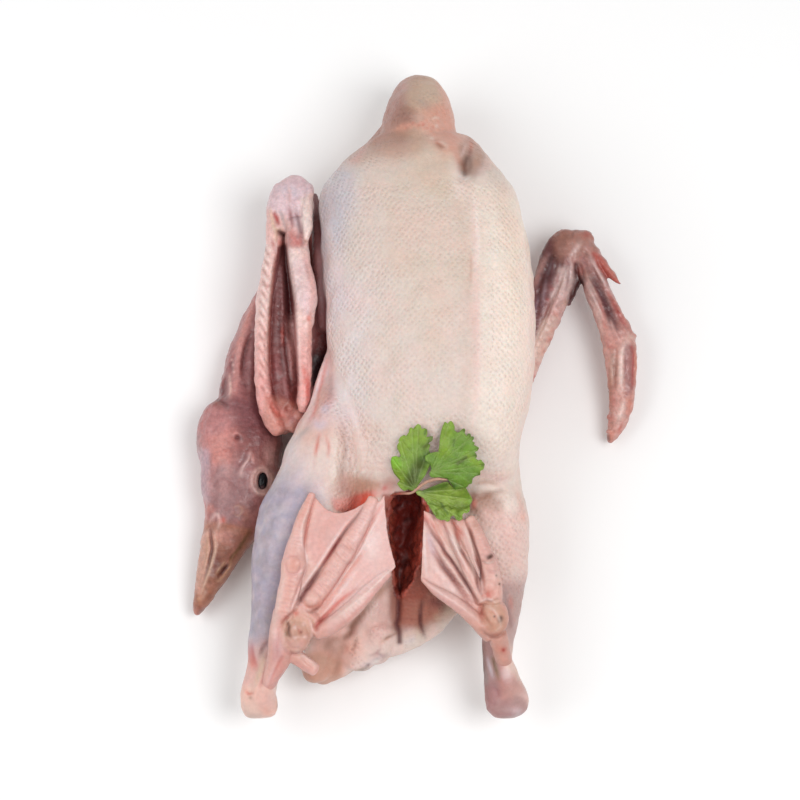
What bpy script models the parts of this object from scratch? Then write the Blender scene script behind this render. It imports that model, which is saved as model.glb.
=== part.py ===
"""A whole raw goose, plucked and drawn, lying on its back with its breast up, and a sprig of coriander.

Units are metres and +Z is up. The neck end points to +Y, the tail to -Y, and the head lies on the -X
side. The origin is on the flat patch of the back that the bird rests on, under the middle of the breast.
Every limb is a run of oval stations along its own line, in millimetres. The limbs and the trunk are
one skin, so they are melted into one solid, which is then opened at the belly and cut flat below.
"""

import math

import bmesh
import bpy
from mathutils import Matrix, Vector
from mathutils.bvhtree import BVHTree

MM = 0.001

# Driving sizes of the bird, in millimetres.
BREAST_HALF_WIDTH = 77
BREAST_HEIGHT = 137
BREAST_END_Y = -138
KEEL_X = 33
BACK_DEPTH = -5
TOUCH_HEIGHT = 0.6
NECK_RADIUS = 18
HOCK_RADIUS = 13
SHANK_RADIUS = 9
TOE_RADIUS = 5
WEB_THICKNESS = 4

# Driving sizes of the sprig, in millimetres.
LEAFLET_REACH = 45
LEAF_THICKNESS = 1.4
STEM_RADIUS = 1.1
LEAF_GAP = 0.6
LEAF_DROOP = 12

# Roundness of the sections, and the melting of the limbs into one skin, which is in metres.
RING_SIDES = 20
TRUNK_SIDES = 40
BACK_SQUARENESS = 0.8
BREAST_SQUARENESS = 0.9
DOME_SHARES = (0.45, 0.8)
DOME_HEIGHT = 0.7
MELT_CELL = 0.0026
RELAX_PASSES = 6
KEPT_SHARE = 0.052
LEAF_CELL = 0.0007
LEAF_KEPT_SHARE = 0.05

SKIN_PINK = (0.80, 0.60, 0.52)
LEAF_GREEN = (0.19, 0.42, 0.07)


def clear_scene():
    """Removes whatever the file starts with."""
    for existing in list(bpy.data.objects):
        bpy.data.objects.remove(existing, do_unlink=True)


def material(name, colour, roughness):
    """A Principled material of one colour."""
    made = bpy.data.materials.new(name)
    made.use_nodes = True
    shader = made.node_tree.nodes["Principled BSDF"]
    shader.inputs["Base Color"].default_value = (*colour, 1)
    shader.inputs["Roughness"].default_value = roughness
    shader.inputs["Metallic"].default_value = 0
    return made


def link_mesh(name, bm):
    """Turns a bmesh into an object of the scene, with its faces pointing out."""
    mesh = bpy.data.meshes.new(name)
    bmesh.ops.recalc_face_normals(bm, faces=bm.faces)
    bm.to_mesh(mesh)
    bm.free()
    made = bpy.data.objects.new(name, mesh)
    bpy.context.scene.collection.objects.link(made)
    return made


def cut(target, tool):
    """Takes tool, which is no piece itself, out of the target."""
    tool.hide_render = True
    tool.display_type = "WIRE"
    made = target.modifiers.new(tool.name, "BOOLEAN")
    made.operation = "DIFFERENCE"
    made.object = tool


def melt(target, cell):
    """Makes one skin around overlapping closed shapes, in cells of the given size."""
    made = target.modifiers.new("melt", "REMESH")
    made.mode = "VOXEL"
    made.voxel_size = cell


def thin(target, share):
    """Keeps only a share of the faces."""
    made = target.modifiers.new("thin", "DECIMATE")
    made.ratio = share


def between(a, b, c, d, t):
    """The Catmull-Rom value at t from b to c."""
    return 0.5 * (2 * b + (c - a) * t + (2 * a - 5 * b + 4 * c - d) * t * t + (3 * b - a - 3 * c + d) * t ** 3)


def smooth_run(stations, steps):
    """A smooth curve through the stations, with the given number of steps in each gap."""
    ends = [stations[0], *stations, stations[-1]]
    run = []
    for i in range(len(stations) - 1):
        for step in range(steps):
            four = ends[i:i + 4]
            run.append(tuple(between(*values, step / steps) for values in zip(*four)))
    run.append(tuple(float(value) for value in stations[-1]))
    return run


def loft(bm, rings):
    """Bridges rings of points into one closed tube."""
    loops = []
    for points in rings:
        made = bmesh.ops.create_circle(bm, segments=len(points), radius=1)["verts"]
        for vertex, point in zip(made, points):
            vertex.co = point
        loops.append(list({edge for vertex in made for edge in vertex.link_edges}))
    for first, second in zip(loops, loops[1:]):
        bmesh.ops.bridge_loops(bm, edges=first + second)
    for end in (loops[0], loops[-1]):
        bmesh.ops.edgeloop_fill(bm, edges=end)


def dome(ring, centre, out):
    """The smaller rings that close a tube's end with a shallow dome."""
    size = sum((point - centre).length for point in ring) / len(ring)
    rings = []
    for share in DOME_SHARES:
        shrink = math.sqrt(1 - share * share)
        lift = out * size * share * DOME_HEIGHT
        rings.append([centre + (point - centre) * shrink + lift for point in ring])
    return rings


def limb(bm, stations, steps=4):
    """A tube of oval section. A station is x, y, z, half width across and half height, in millimetres."""
    run = smooth_run(stations, steps)
    centres = [Vector(station[:3]) * MM for station in run]
    up = Vector((0, 0, 1))
    rings = []
    for i, (*_, wide, high) in enumerate(run):
        along = (centres[min(i + 1, len(run) - 1)] - centres[max(i - 1, 0)]).normalized()
        up = (up - along * up.dot(along)).normalized()
        across = along.cross(up)
        turns = [2 * math.pi * k / RING_SIDES for k in range(RING_SIDES)]
        rings.append([
            centres[i] + across * wide * MM * math.cos(turn) + up * high * MM * math.sin(turn) for turn in turns
        ])
    start = dome(rings[0], centres[0], (centres[0] - centres[1]).normalized())
    end = dome(rings[-1], centres[-1], (centres[-1] - centres[-2]).normalized())
    loft(bm, start[::-1] + rings + end)


def trunk(bm):
    """The breast: sections along Y, round below, with the keel of the breastbone leaning to +X above."""
    half, height, back, keel = BREAST_HALF_WIDTH, BREAST_HEIGHT, BACK_DEPTH, KEEL_X
    # y, middle x, half width, underside z, widest z, keel z, keel x
    stations = [
        (140, -6, 28, 38, 66, 86, -2),
        (131, -5, 42, 24, 64, 97, 2),
        (116, -7, 58, 12, 62, 108, 8),
        (97, -7, 70, 4, 62, 119, 18),
        (60, -4, half, -3, 62, height - 4, keel - 5),
        (14, 1, half, back, 62, height, keel),
        (-40, 4, half - 1, back, 62, height - 4, keel + 1),
        (-90, 3, half - 8, back + 1, 60, height - 13, keel + 1),
        (-122, 0, half - 14, -3, 56, height - 26, keel - 2),
        (BREAST_END_Y, 0, half - 22, 0, 52, height - 44, 20),
        (BREAST_END_Y - 8, -2, half - 34, 8, 48, height - 60, 8),
    ]
    rings = []
    for y, middle, wide, low, waist, high, ridge in smooth_run(stations, 4):
        ring = []
        for k in range(TRUNK_SIDES):
            turn = 2 * math.pi * k / TRUNK_SIDES
            c, s = math.cos(turn), math.sin(turn)
            squareness = BREAST_SQUARENESS if s > 0 else BACK_SQUARENESS
            x = middle + wide * math.copysign(abs(c) ** squareness, c) + (ridge - middle) * max(s, 0) ** 2
            z = waist + (high - waist) * s if s > 0 else waist + (waist - low) * s
            ring.append(Vector((x, y, z)) * MM)
        rings.append(ring)
    loft(bm, rings)


def belly(bm):
    """The soft abdomen behind the breast, and the stub of the tail at its lower left."""
    limb(bm, [
        (0, -105, 50, 58, 46), (-2, -145, 48, 58, 44), (-8, -180, 44, 52, 40),
        (-15, -203, 38, 43, 32), (-28, -222, 33, 34, 23), (-40, -234, 30, 24, 15),
    ])
    limb(bm, [(-40, -215, 32, 28, 24), (-60, -242, 27, 22, 18), (-80, -263, 25, 12, 11)])


def neck_and_head(bm):
    """The neck folds down at the front and runs back along the table; the head lies on its side."""
    r = NECK_RADIUS
    limb(bm, [
        (-1, 100, 72, 34, 34), (-5, 138, 70, 32, 30), (-6, 164, 64, 26, 26), (-7, 176, 46, 19, 20),
        (-12, 165, 25, 19, 19), (-34, 138, 19, r + 1, r), (-68, 95, 18, r, r), (-100, 50, 18, r, r),
        (-122, 8, 18, r, r), (-135, -30, 19, r, r), (-139, -52, 21, r + 1, r + 1),
    ], steps=3)
    limb(bm, [
        (-139, -50, 21, 20, 19), (-140, -70, 23, 28, 22), (-137, -102, 24, 34, 24), (-139, -132, 23, 31, 22),
        (-147, -158, 21, 20, 16), (-156, -180, 18, 14, 12.5), (-165, -201, 14, 9, 9), (-170, -214, 11, 5, 6),
    ])


def left_wing(bm):
    """The wing on the -X side, folded: upper arm under, forearm outside, hand and thumb inside."""
    limb(bm, [(-40, 80, 58, 22, 24), (-62, 60, 48, 17, 18), (-80, 0, 42, 14, 15), (-98, -74, 42, 13, 12)])
    limb(bm, [
        (-101, -86, 46, 8, 8), (-104, -66, 48, 15, 11), (-111, -20, 52, 17, 11), (-113, 30, 57, 16, 11),
        (-109, 70, 61, 15, 11), (-102, 97, 63, 14, 11),
    ])
    limb(bm, [
        (-103, 98, 64, 11, 10), (-92, 98, 65, 12, 10), (-90, 60, 68, 9, 8), (-82, 14, 70, 9, 8),
        (-80, 0, 70, 9, 7), (-85, -35, 68, 7, 6), (-90, -70, 62, 5, 5), (-91, -77, 60, 3, 3),
    ])
    limb(bm, [(-88, 94, 70, 7, 7), (-85, 68, 72, 6, 5), (-84, 48, 72, 3, 3)])


def right_wing(bm):
    """The wing on the +X side, spread: the forearm rises to the wrist and the hand drops to the table."""
    limb(bm, [(34, 80, 50, 24, 24), (56, 50, 36, 18, 18), (66, 0, 27, 15, 14), (64, -56, 24, 11, 11)])
    limb(bm, [
        (62, -62, 24, 9, 8), (70, -42, 25, 11, 9), (79, -12, 27, 14, 10), (87, 14, 29, 15, 10),
        (101, 48, 32, 16, 10), (112, 72, 34, 15, 10),
    ])
    limb(bm, [
        (110, 72, 34, 12, 10), (120, 58, 34, 11, 9), (129, 36, 32, 10, 9), (142, 10, 30, 11, 8),
        (149, -14, 27, 12, 8), (150, -44, 22, 10.5, 7), (147, -62, 17, 8.5, 6.5), (144, -77, 12, 5.5, 5),
        (142, -82, 10, 3.5, 4),
    ])
    limb(bm, [(122, 64, 36, 6, 5), (137, 50, 36, 4, 4), (147, 38, 35, 2.2, 2.2)])


def left_leg(bm):
    """Thigh, drumstick and hock on the -X side, with the shank folded back up over the belly."""
    r, shank = HOCK_RADIUS, SHANK_RADIUS
    limb(bm, [
        (-42, -70, 66, 30, 34), (-60, -105, 68, 36, 34), (-82, -140, 66, 34, 31), (-100, -175, 62, 28, 27),
        (-110, -210, 57, 20, 20), (-116, -245, 51, 13.5, 14), (-122, -270, 47, 10, 10.5), (-121, -287, 45, r, 12),
        (-119, -296, 45, r - 1, 10),
    ])
    limb(bm, [
        (-118, -290, 50, shank + 1, shank), (-108, -273, 62, shank - 0.5, 8), (-99, -256, 74, shank, 8),
        (-91, -243, 84, 13, 8),
    ])


def right_leg(bm):
    """Thigh, drumstick and hock on the +X side, with the shank folded back up."""
    r, shank = HOCK_RADIUS, SHANK_RADIUS
    limb(bm, [
        (34, -70, 62, 28, 34), (38, -105, 62, 31, 34), (43, -140, 60, 32, 31), (52, -172, 58, 25, 27),
        (58, -205, 55, 18, 20), (57, -235, 52, 12.5, 14), (52, -262, 48, 9.5, 10.5), (53, -278, 46, r, 12),
        (60, -294, 46, r + 3, 10),
    ])
    limb(bm, [
        (62, -284, 50, shank + 2, shank + 1), (61, -266, 60, shank - 0.5, 8), (56, -250, 72, shank, 8),
        (51, -238, 80, 12, 8),
    ])


def web(bm, outline):
    """A skin between toes: its outline in millimetres, filled and thickened."""
    corners = [bm.verts.new(Vector(point) * MM) for point in outline]
    face = bm.faces.new(corners)
    face.normal_update()
    if face.normal.z < 0:
        face.normal_flip()
    skin = bmesh.ops.triangulate(bm, faces=[face])["faces"]
    bmesh.ops.solidify(bm, geom=skin, thickness=WEB_THICKNESS * MM)


def left_foot(bm):
    """Three spread toes, the skin between them and the small hind toe."""
    t = TOE_RADIUS
    limb(bm, [(-93, -238, 87, 9, 6), (-95, -208, 94, 7, t), (-89, -176, 99, 6, t), (-81, -149, 102, 2.5, 3)])
    limb(bm, [(-86, -238, 87, 8, 6), (-78, -212, 93, 8, t), (-55, -180, 98, 7, t), (-31, -150, 101, 2.5, 3)])
    limb(bm, [(-80, -242, 86, 7, 6), (-66, -232, 89, 6, t), (-46, -218, 93, 5, t), (-24, -203, 94, 2.5, 3)])
    limb(bm, [(-90, -258, 80, 5, 5), (-80, -267, 76, 4, 4), (-73, -270, 73, 2.5, 2.5)])
    web(bm, [(-92, -236, 88), (-92, -190, 97), (-81, -149, 103), (-66, -158, 102), (-48, -160, 102),
             (-31, -150, 102), (-60, -185, 98), (-82, -216, 92)])
    web(bm, [(-84, -236, 88), (-60, -188, 97), (-31, -150, 102), (-29, -172, 100), (-24, -203, 95),
             (-52, -224, 91)])


def right_foot(bm):
    """The toes lie bunched together, with the skin gathered between them."""
    t = TOE_RADIUS
    limb(bm, [(52, -234, 82, 9, 6), (53, -207, 90, 6.5, t), (47, -183, 95, 6, t), (40, -162, 98, 2.5, 3)])
    limb(bm, [(47, -232, 83, 8, 6), (36, -200, 92, 6, t), (24, -172, 97, 5, t), (14, -156, 99, 2.5, 3)])
    limb(bm, [(44, -236, 82, 7, 6), (32, -224, 87, 5.5, t), (14, -211, 91, 4.5, t), (-3, -205, 93, 2.5, 3)])
    web(bm, [(50, -230, 84), (50, -190, 95), (40, -162, 98), (14, -156, 99), (30, -190, 95)])
    web(bm, [(45, -234, 84), (30, -190, 95), (14, -156, 99), (0, -158, 98), (0, -180, 96), (-3, -205, 93),
             (22, -218, 89)])


def settle(bird):
    """Keeps the shape that the modifiers give, and presses flat all that would be under the table."""
    shaped = bird.evaluated_get(bpy.context.evaluated_depsgraph_get())
    mesh = bpy.data.meshes.new_from_object(shaped)
    bird.modifiers.clear()
    bird.data = mesh
    for vertex in mesh.vertices:
        if vertex.co.z < TOUCH_HEIGHT * MM:
            vertex.co.z = 0


def goose():
    """The whole bird as one skin, opened at the belly and flat where it rests."""
    bm = bmesh.new()
    for build in (trunk, belly, neck_and_head, left_wing, right_wing, left_leg, right_leg,
                  left_foot, right_foot):
        build(bm)
    bird = link_mesh("goose", bm)
    bird.data.materials.append(material("goose_skin", SKIN_PINK, 0.45))
    melt(bird, MELT_CELL)

    bm = bmesh.new()
    limb(bm, [(-11, -142, 76, 10, 34), (-11, -153, 76, 12, 34), (-12, -175, 74, 10, 32),
              (-13, -198, 70, 7, 28), (-15, -218, 68, 4, 22)])
    cut(bird, link_mesh("belly_opening", bm))
    melt(bird, MELT_CELL)

    relax = bird.modifiers.new("relax", "SMOOTH")
    relax.factor = 0.5
    relax.iterations = RELAX_PASSES
    thin(bird, KEPT_SHARE)
    settle(bird)
    return bird


class Sprig:
    """Three toothed leaflets and a stem, each lying on the breast, joined at one point."""

    NODE = (-8, -143)
    # heading in degrees clockwise from +Y, half spread in degrees, share of the reach, layer
    LEAFLETS = ((-9, 31, 0.95, 0), (50, 45, 1.06, 2), (112, 27, 0.92, 1))
    TEETH = 4
    LOBES = 3
    COLUMNS = 32
    ROWS = 5

    def __init__(self, bird):
        self.skin = BVHTree.FromObject(bird, bpy.context.evaluated_depsgraph_get())

    def height(self, x, y):
        """The skin's highest point around (x, y), in millimetres: a leaf doesn't dip into small hollows."""
        highest = 0
        for k in range(9):
            turn, reach = math.pi * k / 4, 0 if k == 8 else LEAF_DROOP
            above = Vector((x + reach * math.cos(turn), y + reach * math.sin(turn), 200)) * MM
            hit = self.skin.ray_cast(above, Vector((0, 0, -1)))[0]
            if hit:
                highest = max(highest, hit.z / MM)
        return highest

    def leaflet(self, bm, heading, spread, share, layer):
        """A fan from the node with round lobes and teeth, laid on the skin point by point."""
        sheet = bmesh.ops.create_grid(bm, x_segments=self.COLUMNS, y_segments=self.ROWS, size=1)["verts"]
        faces = list({face for vertex in sheet for face in vertex.link_faces})
        for vertex in sheet:
            u, v = vertex.co.x, (vertex.co.y + 1) / 2
            teeth = 0.05 * math.cos(2 * math.pi * self.TEETH * u)
            lobes = 1 + (teeth + 0.09 * math.cos(math.pi * self.LOBES * u)) * v
            reach = LEAFLET_REACH * share * (0.06 + 0.94 * v) * (1 - 0.22 * u * u) * lobes
            turn = math.radians(heading + spread * u)
            x = self.NODE[0] + reach * math.sin(turn)
            y = self.NODE[1] + reach * math.cos(turn)
            vertex.co = Vector((x, y, self.height(x, y) + LEAF_GAP + layer * LEAF_THICKNESS)) * MM
        raised = bmesh.ops.extrude_face_region(bm, geom=faces)["geom"]
        points = [item for item in raised if isinstance(item, bmesh.types.BMVert)]
        bmesh.ops.translate(bm, verts=points, vec=(0, 0, LEAF_THICKNESS * MM))

    def stem(self, bm):
        """The cut stem, from beside the belly opening to the node, where it ends in a small knot."""
        r = STEM_RADIUS
        lift = LEAF_GAP + r + LEAF_THICKNESS
        route = [(-31, -148), (-19, -147), self.NODE]
        limb(bm, [(x, y, self.height(x, y) + lift, r, r) for x, y in route])
        x, y = self.NODE
        knot = Matrix.Translation(Vector((x, y, self.height(x, y) + lift)) * MM) @ Matrix.Diagonal((4, 4, 2, 1))
        bmesh.ops.create_uvsphere(bm, u_segments=12, v_segments=8, radius=MM, matrix=knot)

    def build(self):
        """The whole sprig, melted into one solid."""
        bm = bmesh.new()
        for leaf in self.LEAFLETS:
            self.leaflet(bm, *leaf)
        self.stem(bm)
        sprig = link_mesh("coriander_sprig", bm)
        sprig.data.materials.append(material("coriander_leaf", LEAF_GREEN, 0.5))
        melt(sprig, LEAF_CELL)
        thin(sprig, LEAF_KEPT_SHARE)
        return sprig


clear_scene()
Sprig(goose()).build()
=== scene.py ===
"""The looks of a whole raw goose, plucked and drawn, that lies on its back with a sprig of coriander on it.

Lengths are in millimetres until a mesh is made. Places that the photograph fixes are given in its pixels,
800 by 800 and counted right and down from the top left corner, with a height in millimetres: Lens.at turns
them into places in space. The pieces overlap where the skin of the real bird runs on, and every piece that
belongs to the bird stands for the frame's goose.
"""

import logging
import math
from dataclasses import dataclass
from enum import Enum
from pathlib import Path as FilePath

import bmesh
import bpy
import numpy as np
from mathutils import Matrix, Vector
from mathutils.bvhtree import BVHTree
from mathutils.kdtree import KDTree

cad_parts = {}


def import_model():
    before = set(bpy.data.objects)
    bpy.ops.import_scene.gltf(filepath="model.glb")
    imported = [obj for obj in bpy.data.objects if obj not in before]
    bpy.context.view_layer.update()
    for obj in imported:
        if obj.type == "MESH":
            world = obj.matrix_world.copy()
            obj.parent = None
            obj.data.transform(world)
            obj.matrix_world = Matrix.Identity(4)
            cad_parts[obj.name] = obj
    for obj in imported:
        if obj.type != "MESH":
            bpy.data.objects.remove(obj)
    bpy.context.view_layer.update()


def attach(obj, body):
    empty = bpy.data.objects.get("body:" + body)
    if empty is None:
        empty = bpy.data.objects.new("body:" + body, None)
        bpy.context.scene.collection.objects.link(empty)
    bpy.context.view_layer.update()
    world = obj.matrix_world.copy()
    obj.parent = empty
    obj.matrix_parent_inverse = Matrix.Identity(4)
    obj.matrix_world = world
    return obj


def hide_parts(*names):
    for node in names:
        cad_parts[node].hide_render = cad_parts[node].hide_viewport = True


MM = 0.001
Station = tuple[float, ...]
Pixels = tuple[tuple[float, float], ...]
log = logging.getLogger("goose")


class Tone(Enum):
    """The colours of the bird and the sprig, as red, green and blue from 0 to 255."""

    BREAST = (222, 203, 193)
    CREAM = (236, 219, 206)
    PALE = (243, 228, 220)
    PINK = (232, 200, 192)
    ROSE = (216, 170, 162)
    SALMON = (226, 158, 138)
    FOOT = (232, 190, 175)
    CORAL = (206, 98, 80)
    EMBER = (240, 106, 84)
    RED = (176, 52, 46)
    MAUVE = (160, 114, 114)
    PLUM = (112, 66, 70)
    LAVENDER = (168, 158, 174)
    BLUE_GREY = (196, 190, 201)
    GREY = (150, 140, 140)
    TAN = (190, 146, 126)
    BROWN = (144, 98, 80)
    UMBER = (92, 56, 44)
    MUSCLE = (122, 64, 62)
    WINE = (84, 30, 32)
    DEEP = (60, 17, 13)
    BLOOD = (137, 45, 36)
    RAW = (150, 72, 56)
    SAND = (214, 184, 156)
    HORN = (176, 128, 104)
    OLIVE = (112, 92, 52)
    DIRT = (92, 58, 34)
    LILAC = (214, 194, 200)
    BLACK = (24, 22, 28)
    LEAF = (113, 144, 48)
    LEAF_YOUNG = (132, 159, 48)
    LEAF_BRIGHT = (119, 176, 29)
    LEAF_PALE = (132, 155, 61)
    LEAF_BLUE = (102, 138, 42)
    LEAF_DARK = (53, 83, 15)
    OLIVE_DARK = (70, 84, 14)

    def linear(self) -> np.ndarray:
        """The colour as linear shares, as a shader takes it."""
        share = np.array(self.value) / 255
        return ((share + 0.055) / 1.055) ** 2.4


@dataclass(frozen=True)
class Lens:
    """The camera: it looks down on the bird from the tail end, and ties pixels to places."""

    elevation: float = 75.0
    distance: float = 2000.0
    target: tuple[float, float, float] = (-19.35, -61.48, 50.0)
    focal_length: float = 120.0
    sensor: float = 36.0
    image: int = 800

    def forward(self) -> np.ndarray:
        """The direction it looks in."""
        turn = math.radians(self.elevation)
        return np.array([0.0, math.cos(turn), -math.sin(turn)])

    def upward(self) -> np.ndarray:
        """The direction that is up in the image."""
        turn = math.radians(self.elevation)
        return np.array([0.0, math.sin(turn), math.cos(turn)])

    def place(self) -> np.ndarray:
        """Where it stands."""
        return np.array(self.target) - self.forward() * self.distance

    def scale(self) -> float:
        """Pixels across for each millimetre, of a thing one millimetre ahead."""
        return self.focal_length / self.sensor * self.image

    def pixels(self, points: np.ndarray) -> np.ndarray:
        """Where points show in the image.

        Args:
            points: Points in millimetres, one a row.

        Returns:
            Their pixels, counted right and down from the top left corner.
        """
        offset = points - self.place()
        depth = offset @ self.forward()
        half = self.image / 2
        right = half + offset[:, 0] * self.scale() / depth
        down = half - offset @ self.upward() * self.scale() / depth
        return np.stack([right, down], axis=1)

    def at(self, right: float, down: float, height: float) -> np.ndarray:
        """The place that shows at a pixel and lies at a height.

        Args:
            right: The pixel, counted from the left.
            down: The pixel, counted from the top.
            height: Millimetres above the table.

        Returns:
            The place, in millimetres.
        """
        ray = self.forward() * self.scale() + self.upward() * (self.image / 2 - down)
        ray = ray + np.array([right - self.image / 2, 0.0, 0.0])
        start = self.place()
        return start + ray * (height - start[2]) / ray[2]

    def stations(self, run: tuple[Station, ...]) -> tuple[Station, ...]:
        """Places a limb's stations in space.

        Args:
            run: Each is pixel right, pixel down, height, half width in pixels and half height.

        Returns:
            The same as x, y, z, half width and half height, in millimetres.
        """
        placed = []
        for right, down, height, wide, high in run:
            point = self.at(right, down, height)
            depth = (point - self.place()) @ self.forward()
            placed.append((*point, wide * depth / self.scale(), high))
        return tuple(placed)

    def back(self, points: np.ndarray) -> np.ndarray:
        """The direction from each point to the camera."""
        back = self.place() - points
        return back / np.linalg.norm(back, axis=1, keepdims=True)

    def build(self) -> None:
        """Makes the camera and gives it to the scene."""
        data = bpy.data.cameras.new("camera")
        data.lens = self.focal_length
        data.sensor_width = self.sensor
        data.clip_end = 100
        camera = bpy.data.objects.new("camera", data)
        camera.location = Vector(self.place()) * MM
        camera.rotation_euler = (math.radians(90 - self.elevation), 0, 0)
        bpy.context.scene.collection.objects.link(camera)
        bpy.context.scene.camera = camera


LENS = Lens()


def smooth_step(values: np.ndarray, low: float, high: float) -> np.ndarray:
    """Rises smoothly from 0 at low to 1 at high."""
    share = np.clip((values - low) / (high - low), 0, 1)
    return share * share * (3 - 2 * share)


def lumps(points: np.ndarray, size: float, seed: int, octaves: int = 1) -> np.ndarray:
    """Smooth uneven noise.

    Args:
        points: Points in millimetres, one a row.
        size: How far apart the lumps are, in millimetres.
        seed: Which of the possible patterns.
        octaves: How many times it is added to itself at half the size and height.

    Returns:
        A value for each point, mostly from -1 to 1.
    """
    waves_added, spread = 12, 3.4
    rng = np.random.default_rng(seed)
    total = np.zeros(len(points))
    for octave in range(octaves):
        waves = rng.normal(size=(waves_added, points.shape[1]))
        waves /= np.linalg.norm(waves, axis=1, keepdims=True)
        waves *= 2 * math.pi / size * 2 ** octave * rng.uniform(0.45, 1.0, (waves_added, 1))
        phases = rng.uniform(0, 2 * math.pi, waves_added)
        total += np.sin(points @ waves.T + phases).sum(axis=1) / spread / 2 ** octave
    return total


def smooth_run(stations: tuple[Station, ...], steps: int) -> list[Station]:
    """A smooth curve through stations of any number of values, with that many steps in each gap.

    Args:
        stations: The values at each station.
        steps: How many steps each gap gets.

    Returns:
        The stations of the curve, the last one included.
    """
    ends = [stations[0], *stations, stations[-1]]
    run = []
    for i in range(len(stations) - 1):
        for step in range(steps):
            t = step / steps
            run.append(tuple(
                0.5 * (2 * b + (c - a) * t + (2 * a - 5 * b + 4 * c - d) * t * t
                       + (3 * b - a - 3 * c + d) * t ** 3)
                for a, b, c, d in zip(*ends[i:i + 4])
            ))
    run.append(tuple(float(value) for value in stations[-1]))
    return run


@dataclass(frozen=True)
class Mark:
    """A fold, ridge, dimple or stain in the skin, placed where the photograph shows it.

    path holds pixels, and one pixel makes a round spot. An area is the inside of its path, with a soft
    edge. width and depth are in millimetres, and a negative depth stands proud. strength is how much of
    the tone shows, from 0 to 1. A line with fade runs out at its ends. pixel is the width of one pixel on
    the bird, and reach how many widths away a mark still counts, both for measuring only.
    """

    path: Pixels
    width: float
    depth: float = 0.0
    tone: Tone | None = None
    strength: float = 0.0
    fade: bool = True
    area: bool = False
    pixel: float = 0.75
    reach: float = 2.6

    def weight(self, seen: np.ndarray) -> np.ndarray:
        """How much of the mark each pixel gets.

        Args:
            seen: The pixels, one a row.

        Returns:
            A share for each, from 0 to 1.
        """
        points = np.array(self.path, float)
        if self.area:
            points = np.concatenate([points, points[:1]])
        elif len(points) > 2:
            points = np.array(smooth_run(self.path, 4))
        margin = self.reach * self.width / self.pixel
        close = (seen > points.min(axis=0) - margin) & (seen < points.max(axis=0) + margin)
        near = np.nonzero(close.all(axis=1))[0]
        here = seen[near]
        best = np.full(len(near), 1e9)
        along = np.zeros(len(near))
        inside = np.zeros(len(near), bool)
        count = max(len(points) - 1, 1)
        for i in range(count):
            start, end = points[i], points[min(i + 1, len(points) - 1)]
            span = end - start
            share = np.clip(((here - start) @ span) / max(span @ span, 1e-9), 0, 1)
            away = np.linalg.norm(here - start - share[:, None] * span, axis=1)
            closer = away < best
            best = np.where(closer, away, best)
            along = np.where(closer, (i + share) / count, along)
            crossed = (start[1] > here[:, 1]) != (end[1] > here[:, 1])
            rise = span[1] if abs(span[1]) > 1e-9 else 1e-9
            inside ^= crossed & (here[:, 0] < span[0] * (here[:, 1] - start[1]) / rise + start[0])
        value = np.exp(-(best * self.pixel / self.width) ** 2)
        if self.area:
            value = np.where(inside, 1.0, value)
        elif self.fade and len(points) > 1:
            value *= np.sin(math.pi * np.clip(along, 0.03, 0.97)) ** 0.5
        weights = np.zeros(len(seen))
        weights[near] = value
        return weights


def groove(path: Pixels, width: float, depth: float, tone: Tone | None = None, strength: float = 0.6,
           **more: object) -> Mark:
    """A line that is pressed in and stained."""
    return Mark(path, width, depth, tone, strength if tone else 0.0, **more)


def ridge(path: Pixels, width: float, height: float, tone: Tone | None = None, strength: float = 0.6,
          **more: object) -> Mark:
    """A line that stands proud."""
    return Mark(path, width, -height, tone, strength if tone else 0.0, **more)


def stain(path: Pixels, width: float, tone: Tone, strength: float, **more: object) -> Mark:
    """A change of colour only."""
    return Mark(path, width, 0.0, tone, strength, **more)


def patch(path: Pixels, width: float, tone: Tone, strength: float, depth: float = 0.0,
          **more: object) -> Mark:
    """A change of colour all over an outline, with an edge as soft as width."""
    return Mark(path, width, depth, tone, strength, area=True, **more)


def rungs(path: Pixels, half: float, spacing: float, width: float, depth: float, tone: Tone | None = None,
          strength: float = 0.3, slant: float = 0.0) -> tuple[Mark, ...]:
    """Short lines across a path, as on a toe.

    Args:
        path: The middle of the toe, in pixels.
        half: Half the length of a line, in pixels.
        spacing: How far apart the lines are, in pixels.
        width: Width of a line.
        depth: Depth of a line.
        tone: Its colour.
        strength: How much of that shows.
        slant: Degrees that the lines are turned by.

    Returns:
        The lines.
    """
    points = np.array(smooth_run(path, 12))
    run = np.concatenate([[0.0], np.cumsum(np.linalg.norm(np.diff(points, axis=0), axis=1))])
    rng = np.random.default_rng(len(points))
    marks = []
    for reach in np.arange(spacing / 2, run[-1], spacing):
        reach = min(max(reach + rng.uniform(-0.2, 0.2) * spacing, 0.01), run[-1] - 0.01)
        i = min(int(np.searchsorted(run, reach)), len(points) - 1)
        middle = np.array([np.interp(reach, run, points[:, axis]) for axis in range(2)])
        along = points[i] - points[i - 1]
        turn = math.atan2(along[1], along[0]) + math.pi / 2 + math.radians(slant + rng.uniform(-8, 8))
        side = np.array([math.cos(turn), math.sin(turn)]) * half * rng.uniform(0.7, 1.0)
        ends = tuple(tuple(middle + side * share) for share in (-1, 0, 1))
        marks.append(Mark(ends, width, depth * rng.uniform(0.6, 1.1), tone, strength * rng.uniform(0.5, 1)))
    return tuple(marks)


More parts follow.
